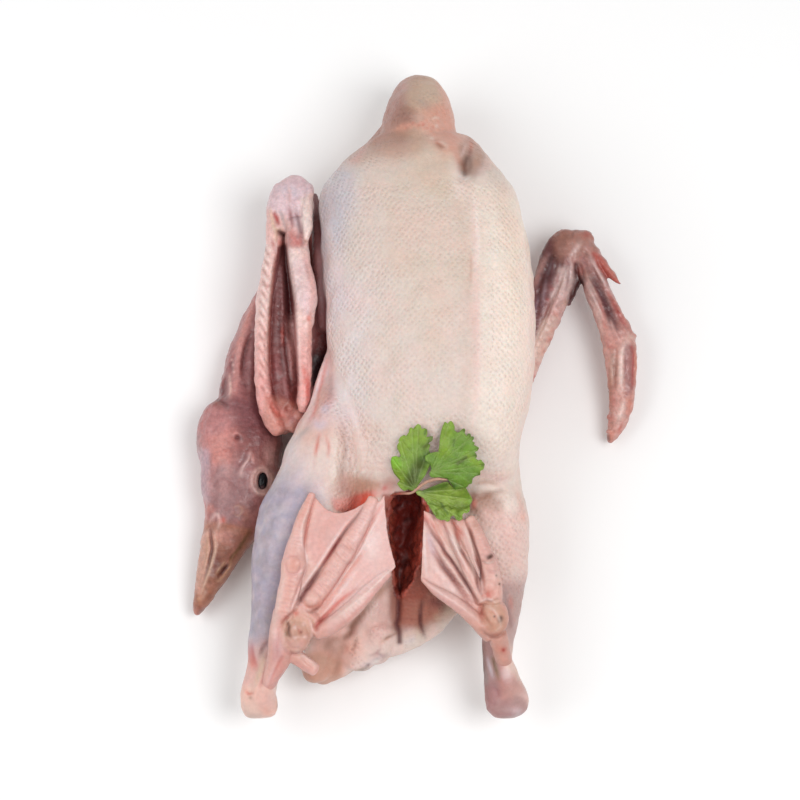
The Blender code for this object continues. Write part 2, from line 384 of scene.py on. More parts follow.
class Flesh:
    """Overlapping closed shapes of one piece, which are then melted into a single skin."""

    def __init__(self) -> None:
        """Starts with nothing."""
        self.bm = bmesh.new()
        self.lofts: list[tuple[np.ndarray, np.ndarray]] = []

    def loft(self, rings: list[np.ndarray]) -> None:
        """Bridges rings of points into one closed tube, and remembers how its skin runs.

        Args:
            rings: The points of each section in order, in millimetres, the same number in each.
        """
        loops = []
        for points in rings:
            made = bmesh.ops.create_circle(self.bm, segments=len(points), radius=1)["verts"]
            for vertex, point in zip(made, points):
                vertex.co = Vector(point) * MM
            loops.append(list({edge for vertex in made for edge in vertex.link_edges}))
        for first, second in zip(loops, loops[1:]):
            bmesh.ops.bridge_loops(self.bm, edges=first + second)
        for end in (loops[0], loops[-1]):
            bmesh.ops.edgeloop_fill(self.bm, edges=end)
        grid = np.array(rings)
        around = np.cumsum(np.linalg.norm(np.roll(grid, -1, axis=1) - grid, axis=2), axis=1)
        around -= around[:, [grid.shape[1] // 4]]
        spine = grid.mean(axis=1)
        steps = np.linalg.norm(np.diff(spine, axis=0, prepend=spine[:1]), axis=1)
        along = np.repeat(np.cumsum(steps)[:, None], grid.shape[1], axis=1)
        self.lofts.append((grid, np.stack([around, along], axis=2)))

    def limb(self, stations: tuple[Station, ...], steps: int = 4, sides: int = 24) -> None:
        """A tube of oval section.

        Args:
            stations: Each is x, y, z, half width across and half height.
            steps: Rings in each gap between stations.
            sides: Points round each ring.
        """
        run = np.array(smooth_run(stations, steps))
        centres = run[:, :3]
        up = np.array([0.0, 0.0, 1.0])
        turns = np.arange(sides) * 2 * math.pi / sides
        rings = []
        for i, station in enumerate(run):
            along = centres[min(i + 1, len(run) - 1)] - centres[max(i - 1, 0)]
            along = along / np.linalg.norm(along)
            up = up - along * (up @ along)
            up = up / np.linalg.norm(up)
            across = np.cross(along, up)
            ring = centres[i] + np.outer(np.cos(turns), across) * station[3]
            ring = ring + np.outer(np.sin(turns), up) * station[4]
            rings.append(ring)
        start = self.dome(rings[0], centres[0], centres[0] - centres[1])
        end = self.dome(rings[-1], centres[-1], centres[-1] - centres[-2])
        self.loft(start[::-1] + rings + end)

    def strand(self, run: tuple[Station, ...], steps: int = 4, sides: int = 24) -> None:
        """A limb whose stations are given by pixels: right, down, height, half width and half height."""
        self.limb(LENS.stations(run), steps, sides)

    @staticmethod
    def dome(ring: np.ndarray, centre: np.ndarray, out: np.ndarray) -> list[np.ndarray]:
        """The smaller rings that close a tube's end with a shallow dome.

        Args:
            ring: The points of the tube's last ring.
            centre: That ring's centre.
            out: The way the end faces.

        Returns:
            The rings, from the widest to the smallest.
        """
        out = out / np.linalg.norm(out)
        size = np.linalg.norm(ring - centre, axis=1).min()
        shares = (0.3, 0.6, 0.85)
        return [centre + (ring - centre) * math.sqrt(1 - s * s) + out * size * s * 0.7 for s in shares]

    def ball(self, spot: Station, radii: Station) -> None:
        """A ball that shows at a pixel and lies at a height, with its own radius along each axis.

        Args:
            spot: The pixel and the height of its centre.
            radii: The radius along each axis, in millimetres.
        """
        made = bmesh.ops.create_uvsphere(self.bm, u_segments=24, v_segments=16, radius=MM)["verts"]
        bmesh.ops.scale(self.bm, vec=radii, verts=made)
        bmesh.ops.translate(self.bm, vec=Vector(LENS.at(*spot)) * MM, verts=made)

    def sheet(self, first: tuple[Station, ...], second: tuple[Station, ...], scallop: float, sag: float,
              thickness: float, pleats: int = 0, pleat_depth: float = 0.0) -> None:
        """A skin stretched between two toes.

        Args:
            first: Pixels and height along one toe, from its root to its tip.
            second: The same for the other toe.
            scallop: How far the free edge curves in, as a share of its length.
            sag: How far the middle hangs below the toes.
            thickness: Thickness of the skin.
            pleats: How many folds run from root to edge.
            pleat_depth: Half the height of those folds.
        """
        lines = [np.array(smooth_run(tuple(tuple(LENS.at(*spot[:3])) for spot in toe), 8))
                 for toe in (first, second)]
        made = bmesh.ops.create_grid(self.bm, x_segments=30, y_segments=40, size=1)["verts"]
        faces = list({face for vertex in made for face in vertex.link_faces})
        for vertex in made:
            u, v = (vertex.co.x + 1) / 2, (vertex.co.y + 1) / 2
            v *= 1 - scallop * math.sin(math.pi * u)
            ends = [np.array([np.interp(v * (len(run) - 1), range(len(run)), run[:, axis])
                              for axis in range(3)])
                    for run in lines]
            point = ends[0] * (1 - u) + ends[1] * u
            point[2] -= sag * math.sin(math.pi * u) + thickness / 2
            pleat = pleat_depth * math.cos(2 * math.pi * pleats * u)
            point[2] += pleat * math.sin(math.pi * u) * min(1, 1.5 * v)
            vertex.co = Vector(point) * MM
        raised = bmesh.ops.extrude_face_region(self.bm, geom=faces)["geom"]
        moved = [item for item in raised if isinstance(item, bmesh.types.BMVert)]
        bmesh.ops.translate(self.bm, verts=moved, vec=(0, 0, thickness * MM))

    def link(self, name: str) -> bpy.types.Object:
        """Puts the shapes into an object, with their faces pointing out.

        Args:
            name: The object's name.

        Returns:
            The object.
        """
        bmesh.ops.recalc_face_normals(self.bm, faces=self.bm.faces)
        mesh = bpy.data.meshes.new(name)
        self.bm.to_mesh(mesh)
        self.bm.free()
        made = bpy.data.objects.new(name, mesh)
        bpy.context.scene.collection.objects.link(made)
        return made

    def melt(self, name: str, cell: float, relax: int, opening: "Flesh | None" = None) -> "Skin":
        """Melts the shapes into one skin.

        Args:
            name: The piece's name.
            cell: Spacing of the skin's points, in millimetres.
            relax: How many times the skin is smoothed.
            opening: Shapes that are cut out of it.

        Returns:
            The skin, ready to be marked.
        """
        made = self.link(name)
        remesh = made.modifiers.new("melt", "REMESH")
        remesh.mode = "VOXEL"
        remesh.voxel_size = cell * MM
        if opening:
            tool = opening.link(name + "_opening")
            cut = made.modifiers.new("cut", "BOOLEAN")
            cut.operation = "DIFFERENCE"
            cut.object = tool
            again = made.modifiers.new("melt again", "REMESH")
            again.mode = "VOXEL"
            again.voxel_size = cell * MM
        if relax:
            smooth = made.modifiers.new("relax", "SMOOTH")
            smooth.factor = 0.5
            smooth.iterations = relax
        apply_modifiers(made)
        skin = Skin(made, self.lofts)
        if opening:
            surface = BVHTree.FromObject(tool, bpy.context.evaluated_depsgraph_get())
            close = [surface.find_nearest(Vector(point) * MM, 1.5 * cell * MM)[0] is not None
                     for point in skin.co]
            skin.cut = np.array(close)
            bpy.data.objects.remove(tool, do_unlink=True)
        return skin


def apply_modifiers(made: bpy.types.Object) -> None:
    """Gives an object the mesh that its modifiers make, and takes them off.

    Args:
        made: The object.
    """
    shaped = made.evaluated_get(bpy.context.evaluated_depsgraph_get())
    mesh = bpy.data.meshes.new_from_object(shaped)
    made.modifiers.clear()
    made.data = mesh


class Skin:
    """A piece's skin as arrays of points, which are pressed and tinted before the piece is finished.

    Folds fade in where the skin turns towards the camera, and colours run a little further round. Each is
    given as the facing, 1 for straight at the camera, at which it starts and at which it is full.
    """

    fold_facing = (0.02, 0.25)
    tone_facing = (-0.12, 0.06)
    hidden_facing = -0.1

    def __init__(self, piece: bpy.types.Object, lofts: list[tuple[np.ndarray, np.ndarray]]) -> None:
        """Reads the points of a melted piece.

        Args:
            piece: The object, at the origin.
            lofts: The tubes that it was melted from, each with how its skin runs.
        """
        self.piece = piece
        self.lofts = lofts
        self.read_points()

    def read_points(self) -> None:
        """Reads the mesh's points and edges, and starts their colours and values afresh."""
        mesh = self.piece.data
        count = len(mesh.vertices)
        flat = np.empty(count * 3, np.float32)
        mesh.vertices.foreach_get("co", flat)
        self.co = flat.reshape(-1, 3).astype(float) / MM
        flat = np.empty(len(mesh.edges) * 2, np.int32)
        mesh.edges.foreach_get("vertices", flat)
        self.edges = flat.reshape(-1, 2)
        self.tint = np.tile(Tone.BREAST.linear(), (count, 1))
        self.values = {"pores": np.ones(count), "wet": np.full(count, 0.5)}
        self.cut = np.zeros(count, bool)
        self.read_normals()

    def read_normals(self) -> None:
        """Works out again how the skin is turned and where it shows."""
        self.piece.data.vertices.foreach_set("co", (self.co * MM).astype(np.float32).ravel())
        self.piece.data.update()
        flat = np.empty(len(self.co) * 3, np.float32)
        self.piece.data.vertex_normals.foreach_get("vector", flat)
        self.normal = flat.reshape(-1, 3).astype(float)
        self.seen = LENS.pixels(self.co)
        self.back = LENS.back(self.co)
        self.facing = (self.back * self.normal).sum(axis=1)
        self.front = smooth_step(self.facing, *self.fold_facing)
        self.shown = self.faded(smooth_step(self.facing, *self.tone_facing))

    def faded(self, share: np.ndarray, times: int = 10) -> np.ndarray:
        """Lets a share run out softly over the neighbouring points.

        Args:
            share: A value for each point, from 0 to 1.
            times: Over how many neighbours it runs out.

        Returns:
            The softened values.
        """
        first, second = self.edges.T
        count = len(share)
        degree = np.maximum(np.bincount(self.edges.ravel(), minlength=count), 1)
        soft = share
        for _ in range(times):
            total = np.bincount(first, soft[second], count) + np.bincount(second, soft[first], count)
            soft = np.maximum(share, (soft + total / degree) / 2)
        return soft

    def thin(self, kept: float) -> None:
        """Leaves fewer faces where the skin faces away from the camera.

        Args:
            kept: The share of all the piece's faces that stays.
        """
        group = self.piece.vertex_groups.new(name="below")
        group.add(np.nonzero(self.facing < self.hidden_facing)[0].tolist(), 1.0, "REPLACE")
        thin = self.piece.modifiers.new("thin", "DECIMATE")
        thin.ratio = kept
        thin.vertex_group = "below"
        apply_modifiers(self.piece)
        self.piece.vertex_groups.clear()
        before, cut = KDTree(len(self.co)), self.cut
        for i, point in enumerate(self.co):
            before.insert(point, i)
        before.balance()
        self.read_points()
        self.cut = cut[[before.find(point)[1] for point in self.co]]

    def lift(self, height: np.ndarray | float) -> None:
        """Moves every point out along its normal, in millimetres."""
        self.co += self.normal * np.reshape(height, (-1, 1))
        self.read_normals()

    def mark(self, marks: tuple[Mark, ...]) -> None:
        """Presses the skin along the camera's line and stains it, in order.

        Args:
            marks: The marks, in the order in which they go on.
        """
        depth = np.zeros(len(self.co))
        for mark in marks:
            weight = mark.weight(self.seen)
            depth += weight * self.front * mark.depth
            if mark.tone:
                self.stain(weight * self.shown * mark.strength, mark.tone)
        self.co -= self.back * depth[:, None]
        self.read_normals()

    def stain(self, weight: np.ndarray, tone: Tone) -> None:
        """Moves the colour towards a tone by a share for each point."""
        share = np.clip(weight, 0, 1)[:, None]
        self.tint = self.tint * (1 - share) + tone.linear() * share

    def mottle(self, size: float, seed: int, tone: Tone, strength: float) -> None:
        """Stains the skin in uneven blotches."""
        self.stain(smooth_step(lumps(self.co, size, seed, 2), 0.1, 1.1) * strength, tone)

    def rest(self) -> None:
        """Presses flat all that would be under the table."""
        self.co[:, 2] = np.maximum(self.co[:, 2], 0.0)

    def skin_map(self) -> np.ndarray:
        """How far round and along its limb each point of the skin lies, in millimetres.

        Returns:
            Both lengths, one row for each point.
        """
        places = np.concatenate([grid.reshape(-1, 3) for grid, _ in self.lofts])
        runs = np.concatenate([run.reshape(-1, 2) for _, run in self.lofts])
        tangents = []
        for grid, run in self.lofts:
            step = np.roll(grid, -1, axis=1) - grid
            around = step / np.maximum(np.linalg.norm(step, axis=2, keepdims=True), 1e-6)
            step = np.gradient(grid, axis=0)
            along = step / np.maximum(np.linalg.norm(step, axis=2, keepdims=True), 1e-6)
            tangents.append(np.stack([around, along], axis=2).reshape(-1, 2, 3))
        tangents = np.concatenate(tangents)
        tree = KDTree(len(places))
        for i, place in enumerate(places):
            tree.insert(place, i)
        tree.balance()
        nearest = np.array([tree.find(point)[1] for point in self.co])
        offset = self.co - places[nearest]
        return runs[nearest] + np.einsum("nij,nj->ni", tangents[nearest], offset)

    def bare_seams(self, run: np.ndarray) -> None:
        """Takes the pores away where the map of the skin jumps from one limb to the next.

        Args:
            run: The skin's map, as skin_map gives it.
        """
        first, second = self.edges.T
        jump = np.linalg.norm(run[first] - run[second], axis=1)
        length = np.linalg.norm(self.co[first] - self.co[second], axis=1)
        torn = np.zeros(len(self.co), bool)
        torn[self.edges[jump > 2.2 * length + 0.6].ravel()] = True
        for _ in range(2):
            spread = torn[first] | torn[second]
            torn[self.edges[spread].ravel()] = True
        self.values["pores"][torn] = 0

    def finish(self, material: bpy.types.Material, slot: str = "goose_skin") -> bpy.types.Object:
        """Writes the points, colours and values to the mesh and hands the piece to the frame.

        Args:
            material: The piece's material.
            slot: Not used.

        Returns:
            The finished piece.
        """
        mesh = self.piece.data
        self.read_normals()
        mesh.shade_smooth()
        tint = mesh.attributes.new("tint", "FLOAT_COLOR", "POINT")
        rgba = np.concatenate([np.clip(self.tint, 0, 1), np.ones((len(self.tint), 1))], axis=1)
        tint.data.foreach_set("color", rgba.astype(np.float32).ravel())
        if self.lofts:
            run = self.skin_map()
            self.bare_seams(run)
            layer = mesh.attributes.new("skin_map", "FLOAT_VECTOR", "POINT")
            flat = np.concatenate([run, np.zeros((len(self.co), 1))], axis=1)
            layer.data.foreach_set("vector", flat.astype(np.float32).ravel())
        for name, value in self.values.items():
            layer = mesh.attributes.new(name, "FLOAT", "POINT")
            layer.data.foreach_set("value", np.clip(value, 0, 1).astype(np.float32))
        mesh.materials.clear()
        mesh.materials.append(material)
        hand_over(self.piece, "goose")
        return self.piece


def hand_over(piece: bpy.types.Object, node: str) -> None:
    """Says which node a piece stands for, and reports it.

    Args:
        piece: The finished piece.
        node: The frame's node that it stands for.
    """
    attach(piece, "root")
    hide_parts(node)
    low, high = np.array(piece.bound_box).min(axis=0), np.array(piece.bound_box).max(axis=0)
    size = " x ".join(f"{value:.0f}" for value in (high - low) / MM)
    log.info("%s: %d faces, %s mm", piece.name, len(piece.data.polygons), size)


class Nodes:
    """A short way to write a material's node tree."""

    def __init__(self, name: str) -> None:
        """Starts a material with its Principled shader.

        Args:
            name: The material's name.
        """
        self.material = bpy.data.materials.new(name)
        self.material.use_nodes = True
        self.tree = self.material.node_tree
        self.shader = self.tree.nodes["Principled BSDF"]

    def add(self, kind: str, **settings: object) -> bpy.types.Node:
        """Adds a node and sets its properties.

        Args:
            kind: The node's type, without its prefix.
            **settings: Its properties.

        Returns:
            The node.
        """
        node = self.tree.nodes.new("ShaderNode" + kind)
        for name, value in settings.items():
            setattr(node, name, value)
        return node

    def feed(self, socket: bpy.types.NodeSocket, source: object) -> None:
        """Links a socket to another, or sets its value.

        Args:
            socket: The socket to fill.
            source: Another socket, or a value.
        """
        if isinstance(source, bpy.types.NodeSocket):
            self.tree.links.new(source, socket)
        else:
            socket.default_value = source

    def math(self, operation: str, *sources: object) -> bpy.types.NodeSocket:
        """A math node on sockets or numbers.

        Args:
            operation: What it works out.
            *sources: Sockets or numbers.

        Returns:
            Its result.
        """
        node = self.add("Math", operation=operation)
        for socket, source in zip(node.inputs, sources):
            self.feed(socket, source)
        return node.outputs[0]

    def ramp(self, value: object, low: float, high: float, start: float = 0.0,
             end: float = 1.0) -> bpy.types.NodeSocket:
        """A smooth step from start at low to end at high.

        Args:
            value: The value that runs from low to high.
            low: Where the step begins.
            high: Where it ends.
            start: The result at low.
            end: The result at high.

        Returns:
            The result.
        """
        node = self.add("MapRange", interpolation_type="SMOOTHSTEP")
        for socket, source in zip(node.inputs, (value, low, high, start, end)):
            self.feed(socket, source)
        return node.outputs[0]

    def blend(self, share: object, first: object, second: object, how: str = "MIX") -> bpy.types.NodeSocket:
        """Mixes two colours.

        Args:
            share: How much of the second is used.
            first: The colour below.
            second: The colour on top.
            how: The way they are mixed.

        Returns:
            The mixed colour.
        """
        node = self.add("Mix", data_type="RGBA", blend_type=how)
        self.feed(node.inputs["Factor"], share)
        colours = [socket for socket in node.inputs if socket.type == "RGBA"]
        for socket, source in zip(colours, (first, second)):
            self.feed(socket, (*source, 1) if isinstance(source, tuple) else source)
        return next(socket for socket in node.outputs if socket.type == "RGBA")

    def shade(self, colour: object, share: object) -> bpy.types.NodeSocket:
        """Makes a colour lighter or darker by a share.

        Args:
            colour: The colour.
            share: What it is multiplied by.

        Returns:
            The new colour.
        """
        grey = self.add("CombineColor")
        for socket in grey.inputs[:3]:
            self.feed(socket, share)
        return self.blend(1.0, colour, grey.outputs[0], "MULTIPLY")

    def attribute(self, name: str, output: str = "Fac") -> bpy.types.NodeSocket:
        """A value stored on the mesh."""
        return self.add("Attribute", attribute_name=name).outputs[output]

    def place(self) -> bpy.types.NodeSocket:
        """The point's own place on the object, in metres."""
        return self.add("TexCoord").outputs["Object"]

    def noise(self, vector: object, size: float, detail: float = 2.0,
              roughness: float = 0.5) -> bpy.types.NodeSocket:
        """Noise from 0 to 1, with lumps of a size in millimetres.

        Args:
            vector: The place to look at.
            size: The size of the lumps.
            detail: How many finer layers are added.
            roughness: How strong those layers are.

        Returns:
            The noise.
        """
        node = self.add("TexNoise")
        self.feed(node.inputs["Vector"], vector)
        for name, value in (("Scale", 1 / MM / size), ("Detail", detail), ("Roughness", roughness)):
            node.inputs[name].default_value = value
        return node.outputs["Fac"]

    def folds(self, vector: object, size: float, edge: float = 0.22) -> bpy.types.NodeSocket:
        """Rounded cells of a size in millimetres, 0 in the creases between them and 1 on top.

        Args:
            vector: The place to look at.
            size: The size of the cells.
            edge: How far the slopes reach in, as a share of a cell.

        Returns:
            The height, from 0 to 1.
        """
        node = self.add("TexVoronoi", feature="DISTANCE_TO_EDGE")
        self.feed(node.inputs["Vector"], vector)
        node.inputs["Scale"].default_value = 1 / MM / size
        return self.ramp(node.outputs["Distance"], 0.0, edge)

    def bump(self, height: object, distance: float, under: object = None) -> bpy.types.NodeSocket:
        """A bump of the given height in millimetres, on top of another.

        Args:
            height: How high each place is, from 0 to 1.
            distance: How many millimetres 1 stands for.
            under: The bump below, if there is one.

        Returns:
            The direction that the surface then faces.
        """
        node = self.add("Bump")
        node.inputs["Strength"].default_value = 1.0
        node.inputs["Distance"].default_value = distance * MM
        self.feed(node.inputs["Height"], height)
        if under:
            self.feed(node.inputs["Normal"], under)
        return node.outputs["Normal"]


@dataclass(frozen=True)
class SkinFinish:
    """Moist plucked skin: feather pores in crossing rows, fine grain and mottled colour.

    Sizes are in millimetres, and depths and shares say how strongly each thing shows.
    """

    name: str
    pore_spacing: float = 3.7
    pore_radius: float = 0.8
    pore_depth: float = 0.22
    pore_tone: tuple[float, float, float] = (0.66, 0.60, 0.58)
    pore_share: float = 0.34
    cushion_depth: float = 0.36
    cell_size: float = 1.9
    cell_depth: float = 0.07
    grain_depth: float = 0.07
    mottle: float = 0.05
    blush: float = 0.5
    roughness: float = 0.46
    coat: float = 0.14
    subsurface: float = 0.16

    def build(self) -> bpy.types.Material:
        """Makes the material.

        Returns:
            The material.
        """
        n = Nodes(self.name)
        place = n.place()
        tint = n.attribute("tint", "Color")
        colour = self.mottled(n, place, tint)
        normal = n.bump(n.noise(place, 0.9, 3, 0.62), self.grain_depth)
        normal = n.bump(n.folds(place, self.cell_size), self.cell_depth, normal)
        if self.pore_share:
            pit, cushion = self.pores(n, place)
            dark = n.blend(1.0, colour, self.pore_tone, "MULTIPLY")
            colour = n.blend(n.math("MULTIPLY", pit, self.pore_share), colour, dark)
            normal = n.bump(cushion, self.cushion_depth, normal)
            normal = n.bump(n.math("SUBTRACT", 1.0, pit), self.pore_depth, normal)
        n.feed(n.shader.inputs["Base Color"], colour)
        n.feed(n.shader.inputs["Normal"], normal)
        rough = n.ramp(n.noise(place, 8, 3), 0.3, 0.7, self.roughness + 0.03, self.roughness + 0.17)
        wet = n.math("MULTIPLY", n.attribute("wet"), 0.2)
        n.feed(n.shader.inputs["Roughness"], n.math("SUBTRACT", rough, wet))
        n.shader.inputs["Coat Weight"].default_value = self.coat
        n.shader.inputs["Coat Roughness"].default_value = 0.25
        n.shader.inputs["Subsurface Weight"].default_value = self.subsurface
        n.shader.inputs["Subsurface Radius"].default_value = (1.0, 0.42, 0.26)
        n.shader.inputs["Subsurface Scale"].default_value = 0.003
        n.shader.inputs["Specular IOR Level"].default_value = 0.4
        return n.material

    def mottled(self, n: Nodes, place: object, tint: object) -> bpy.types.NodeSocket:
        """The piece's own tint, warmer in some blotches and cooler in others, with a fine mottle.

        Args:
            n: The material's nodes.
            place: The point's own place.
            tint: The piece's own tint.

        Returns:
            The colour.
        """
        warm = n.blend(1.0, tint, (1 + 0.03 * self.blush, 1 - 0.05 * self.blush, 1 - 0.06 * self.blush),
                       "MULTIPLY")
        cool = n.blend(1.0, tint, (1 - 0.03 * self.blush, 1 + 0.01 * self.blush, 1 + 0.01 * self.blush),
                       "MULTIPLY")
        colour = n.blend(n.ramp(n.noise(place, 15, 3, 0.6), 0.35, 0.65), cool, warm)
        share = n.ramp(n.noise(place, 3.2, 3, 0.6), 0.25, 0.75, 1 - self.mottle, 1 + self.mottle)
        return n.shade(colour, share)

    def pores(self, n: Nodes, place: object) -> tuple[bpy.types.NodeSocket, bpy.types.NodeSocket]:
        """The pits of the pores, and the cushions between them.

        Args:
            n: The material's nodes.
            place: The point's own place.

        Returns:
            How deep in a pit and how high on a cushion each point is, from 0 to 1.
        """
        turned = n.add("Mapping")
        n.feed(turned.inputs["Vector"], n.attribute("skin_map", "Vector"))
        turned.inputs["Rotation"].default_value = (0, 0, math.radians(45))
        turned.inputs["Scale"].default_value = (1 / self.pore_spacing, 1 / self.pore_spacing, 1)
        cells = n.add("TexVoronoi", voronoi_dimensions="2D", feature="F1")
        n.feed(cells.inputs["Vector"], turned.outputs["Vector"])
        cells.inputs["Scale"].default_value = 1
        cells.inputs["Randomness"].default_value = 0.38
        away = n.math("MULTIPLY", cells.outputs["Distance"], self.pore_spacing)
        strength = n.math("MULTIPLY", n.attribute("pores"),
                          n.ramp(n.noise(place, 18, 2), 0.32, 0.6, 0.3, 1))
        pit = n.math("MULTIPLY", n.ramp(away, self.pore_radius * 0.2, self.pore_radius * 1.5, 1, 0),
                     strength)
        cushion = n.ramp(away, self.pore_spacing * 0.15, self.pore_spacing * 0.6)
        return pit, n.math("MULTIPLY", cushion, strength)


@dataclass(frozen=True)
class WetFinish:
    """A smooth wet surface, such as an eye: the piece's own tint, with a faint dark cloud in it."""

    name: str
    roughness: float = 0.1
    coat: float = 0.1

    def build(self) -> bpy.types.Material:
        """Makes the material.

        Returns:
            The material.
        """
        n = Nodes(self.name)
        cloud = n.ramp(n.noise(n.place(), 2.5, 2), 0.3, 0.7, 0.3, 0.7)
        n.feed(n.shader.inputs["Base Color"], n.shade(n.attribute("tint", "Color"), cloud))
        n.shader.inputs["Roughness"].default_value = self.roughness
        n.shader.inputs["Coat Weight"].default_value = self.coat
        n.shader.inputs["Coat Roughness"].default_value = 0.04
        n.shader.inputs["Specular IOR Level"].default_value = 0.15
        return n.material


@dataclass(frozen=True)
class LeafFinish:
    """A fresh coriander leaf or stem: its own tint, lighter along the veins and matt on top."""

    name: str = "coriander_leaf"
    vein_tone: tuple[float, float, float] = (0.42, 0.52, 0.20)
    blotch: float = 0.16

    def build(self) -> bpy.types.Material:
        """Makes the material.

        Returns:
            The material.
        """
        n = Nodes(self.name)
        place = n.place()
        share = n.ramp(n.noise(place, 6, 3, 0.6), 0.3, 0.7, 1 - self.blotch, 1 + self.blotch)
        colour = n.shade(n.attribute("tint", "Color"), share)
        vein = n.attribute("vein")
        colour = n.blend(n.math("MULTIPLY", vein, 0.22), colour, self.vein_tone)
        n.feed(n.shader.inputs["Base Color"], colour)
        normal = n.bump(n.folds(place, 1.6), 0.12)
        n.feed(n.shader.inputs["Normal"], n.bump(n.math("SUBTRACT", 1.0, vein), 0.25, normal))
        n.shader.inputs["Roughness"].default_value = 0.45
        n.shader.inputs["Subsurface Weight"].default_value = 0.1
        n.shader.inputs["Subsurface Radius"].default_value = (0.3, 1.0, 0.15)
        n.shader.inputs["Subsurface Scale"].default_value = 0.002
        return n.material


def trunk_rings(steps: int, sides: int) -> list[np.ndarray]:
    """The breast's sections: round below, with the keel of the breastbone leaning to +X above.

    Args:
        steps: Sections in each gap between stations.
        sides: Points round each section.

    Returns:
        The points of each section, in millimetres.
    """
    # pixel row, left and right edges, underside z, widest z, keel z, keel pixel
    stations = (
        (136, 390, 450, 36, 66, 86, 417),
        (146, 367, 476, 22, 64, 99, 421),
        (158, 351, 484, 12, 63, 108, 431),
        (172, 335.5, 490, 5, 62, 117, 442),
        (190, 322, 500, 0, 62, 124, 453),
        (210, 320, 512, -3, 62, 130, 463),
        (250, 322, 524, -4, 62, 134.5, 470),
        (300, 326, 532, -5, 62, 136, 473),
        (350, 327.5, 534, -5, 62, 134.5, 474),
        (400, 333, 530, -5, 61, 131, 473),
        (440, 337, 520, -4, 59, 123.5, 472),
        (470, 340, 517, -4, 57, 113, 468),
        (490, 344, 518, -2, 54, 103, 458),
        (502, 352, 512, 2, 51, 89, 448),
        (509, 374, 488, 10, 48, 74, 438),
    )
    rings = []
    for row, left, right, low, waist, high, keel in smooth_run(stations, steps):
        turns = np.arange(sides) * 2 * math.pi / sides
        c, s = np.cos(turns), np.sin(turns)
        square = np.where(s > 0, 0.9, 0.8)
        start, end = LENS.at(left, row, waist), LENS.at(right, row, waist)
        middle, wide = (start[0] + end[0]) / 2, (end[0] - start[0]) / 2
        lean = LENS.at(keel, row, waist)[0] - middle
        x = middle + wide * np.sign(c) * np.abs(c) ** square + lean * np.maximum(s, 0) ** 2
        z = np.where(s > 0, waist + (high - waist) * s, waist + (waist - low) * s)
        rings.append(np.stack([x, np.full(sides, start[1]), z], axis=1))
    return rings


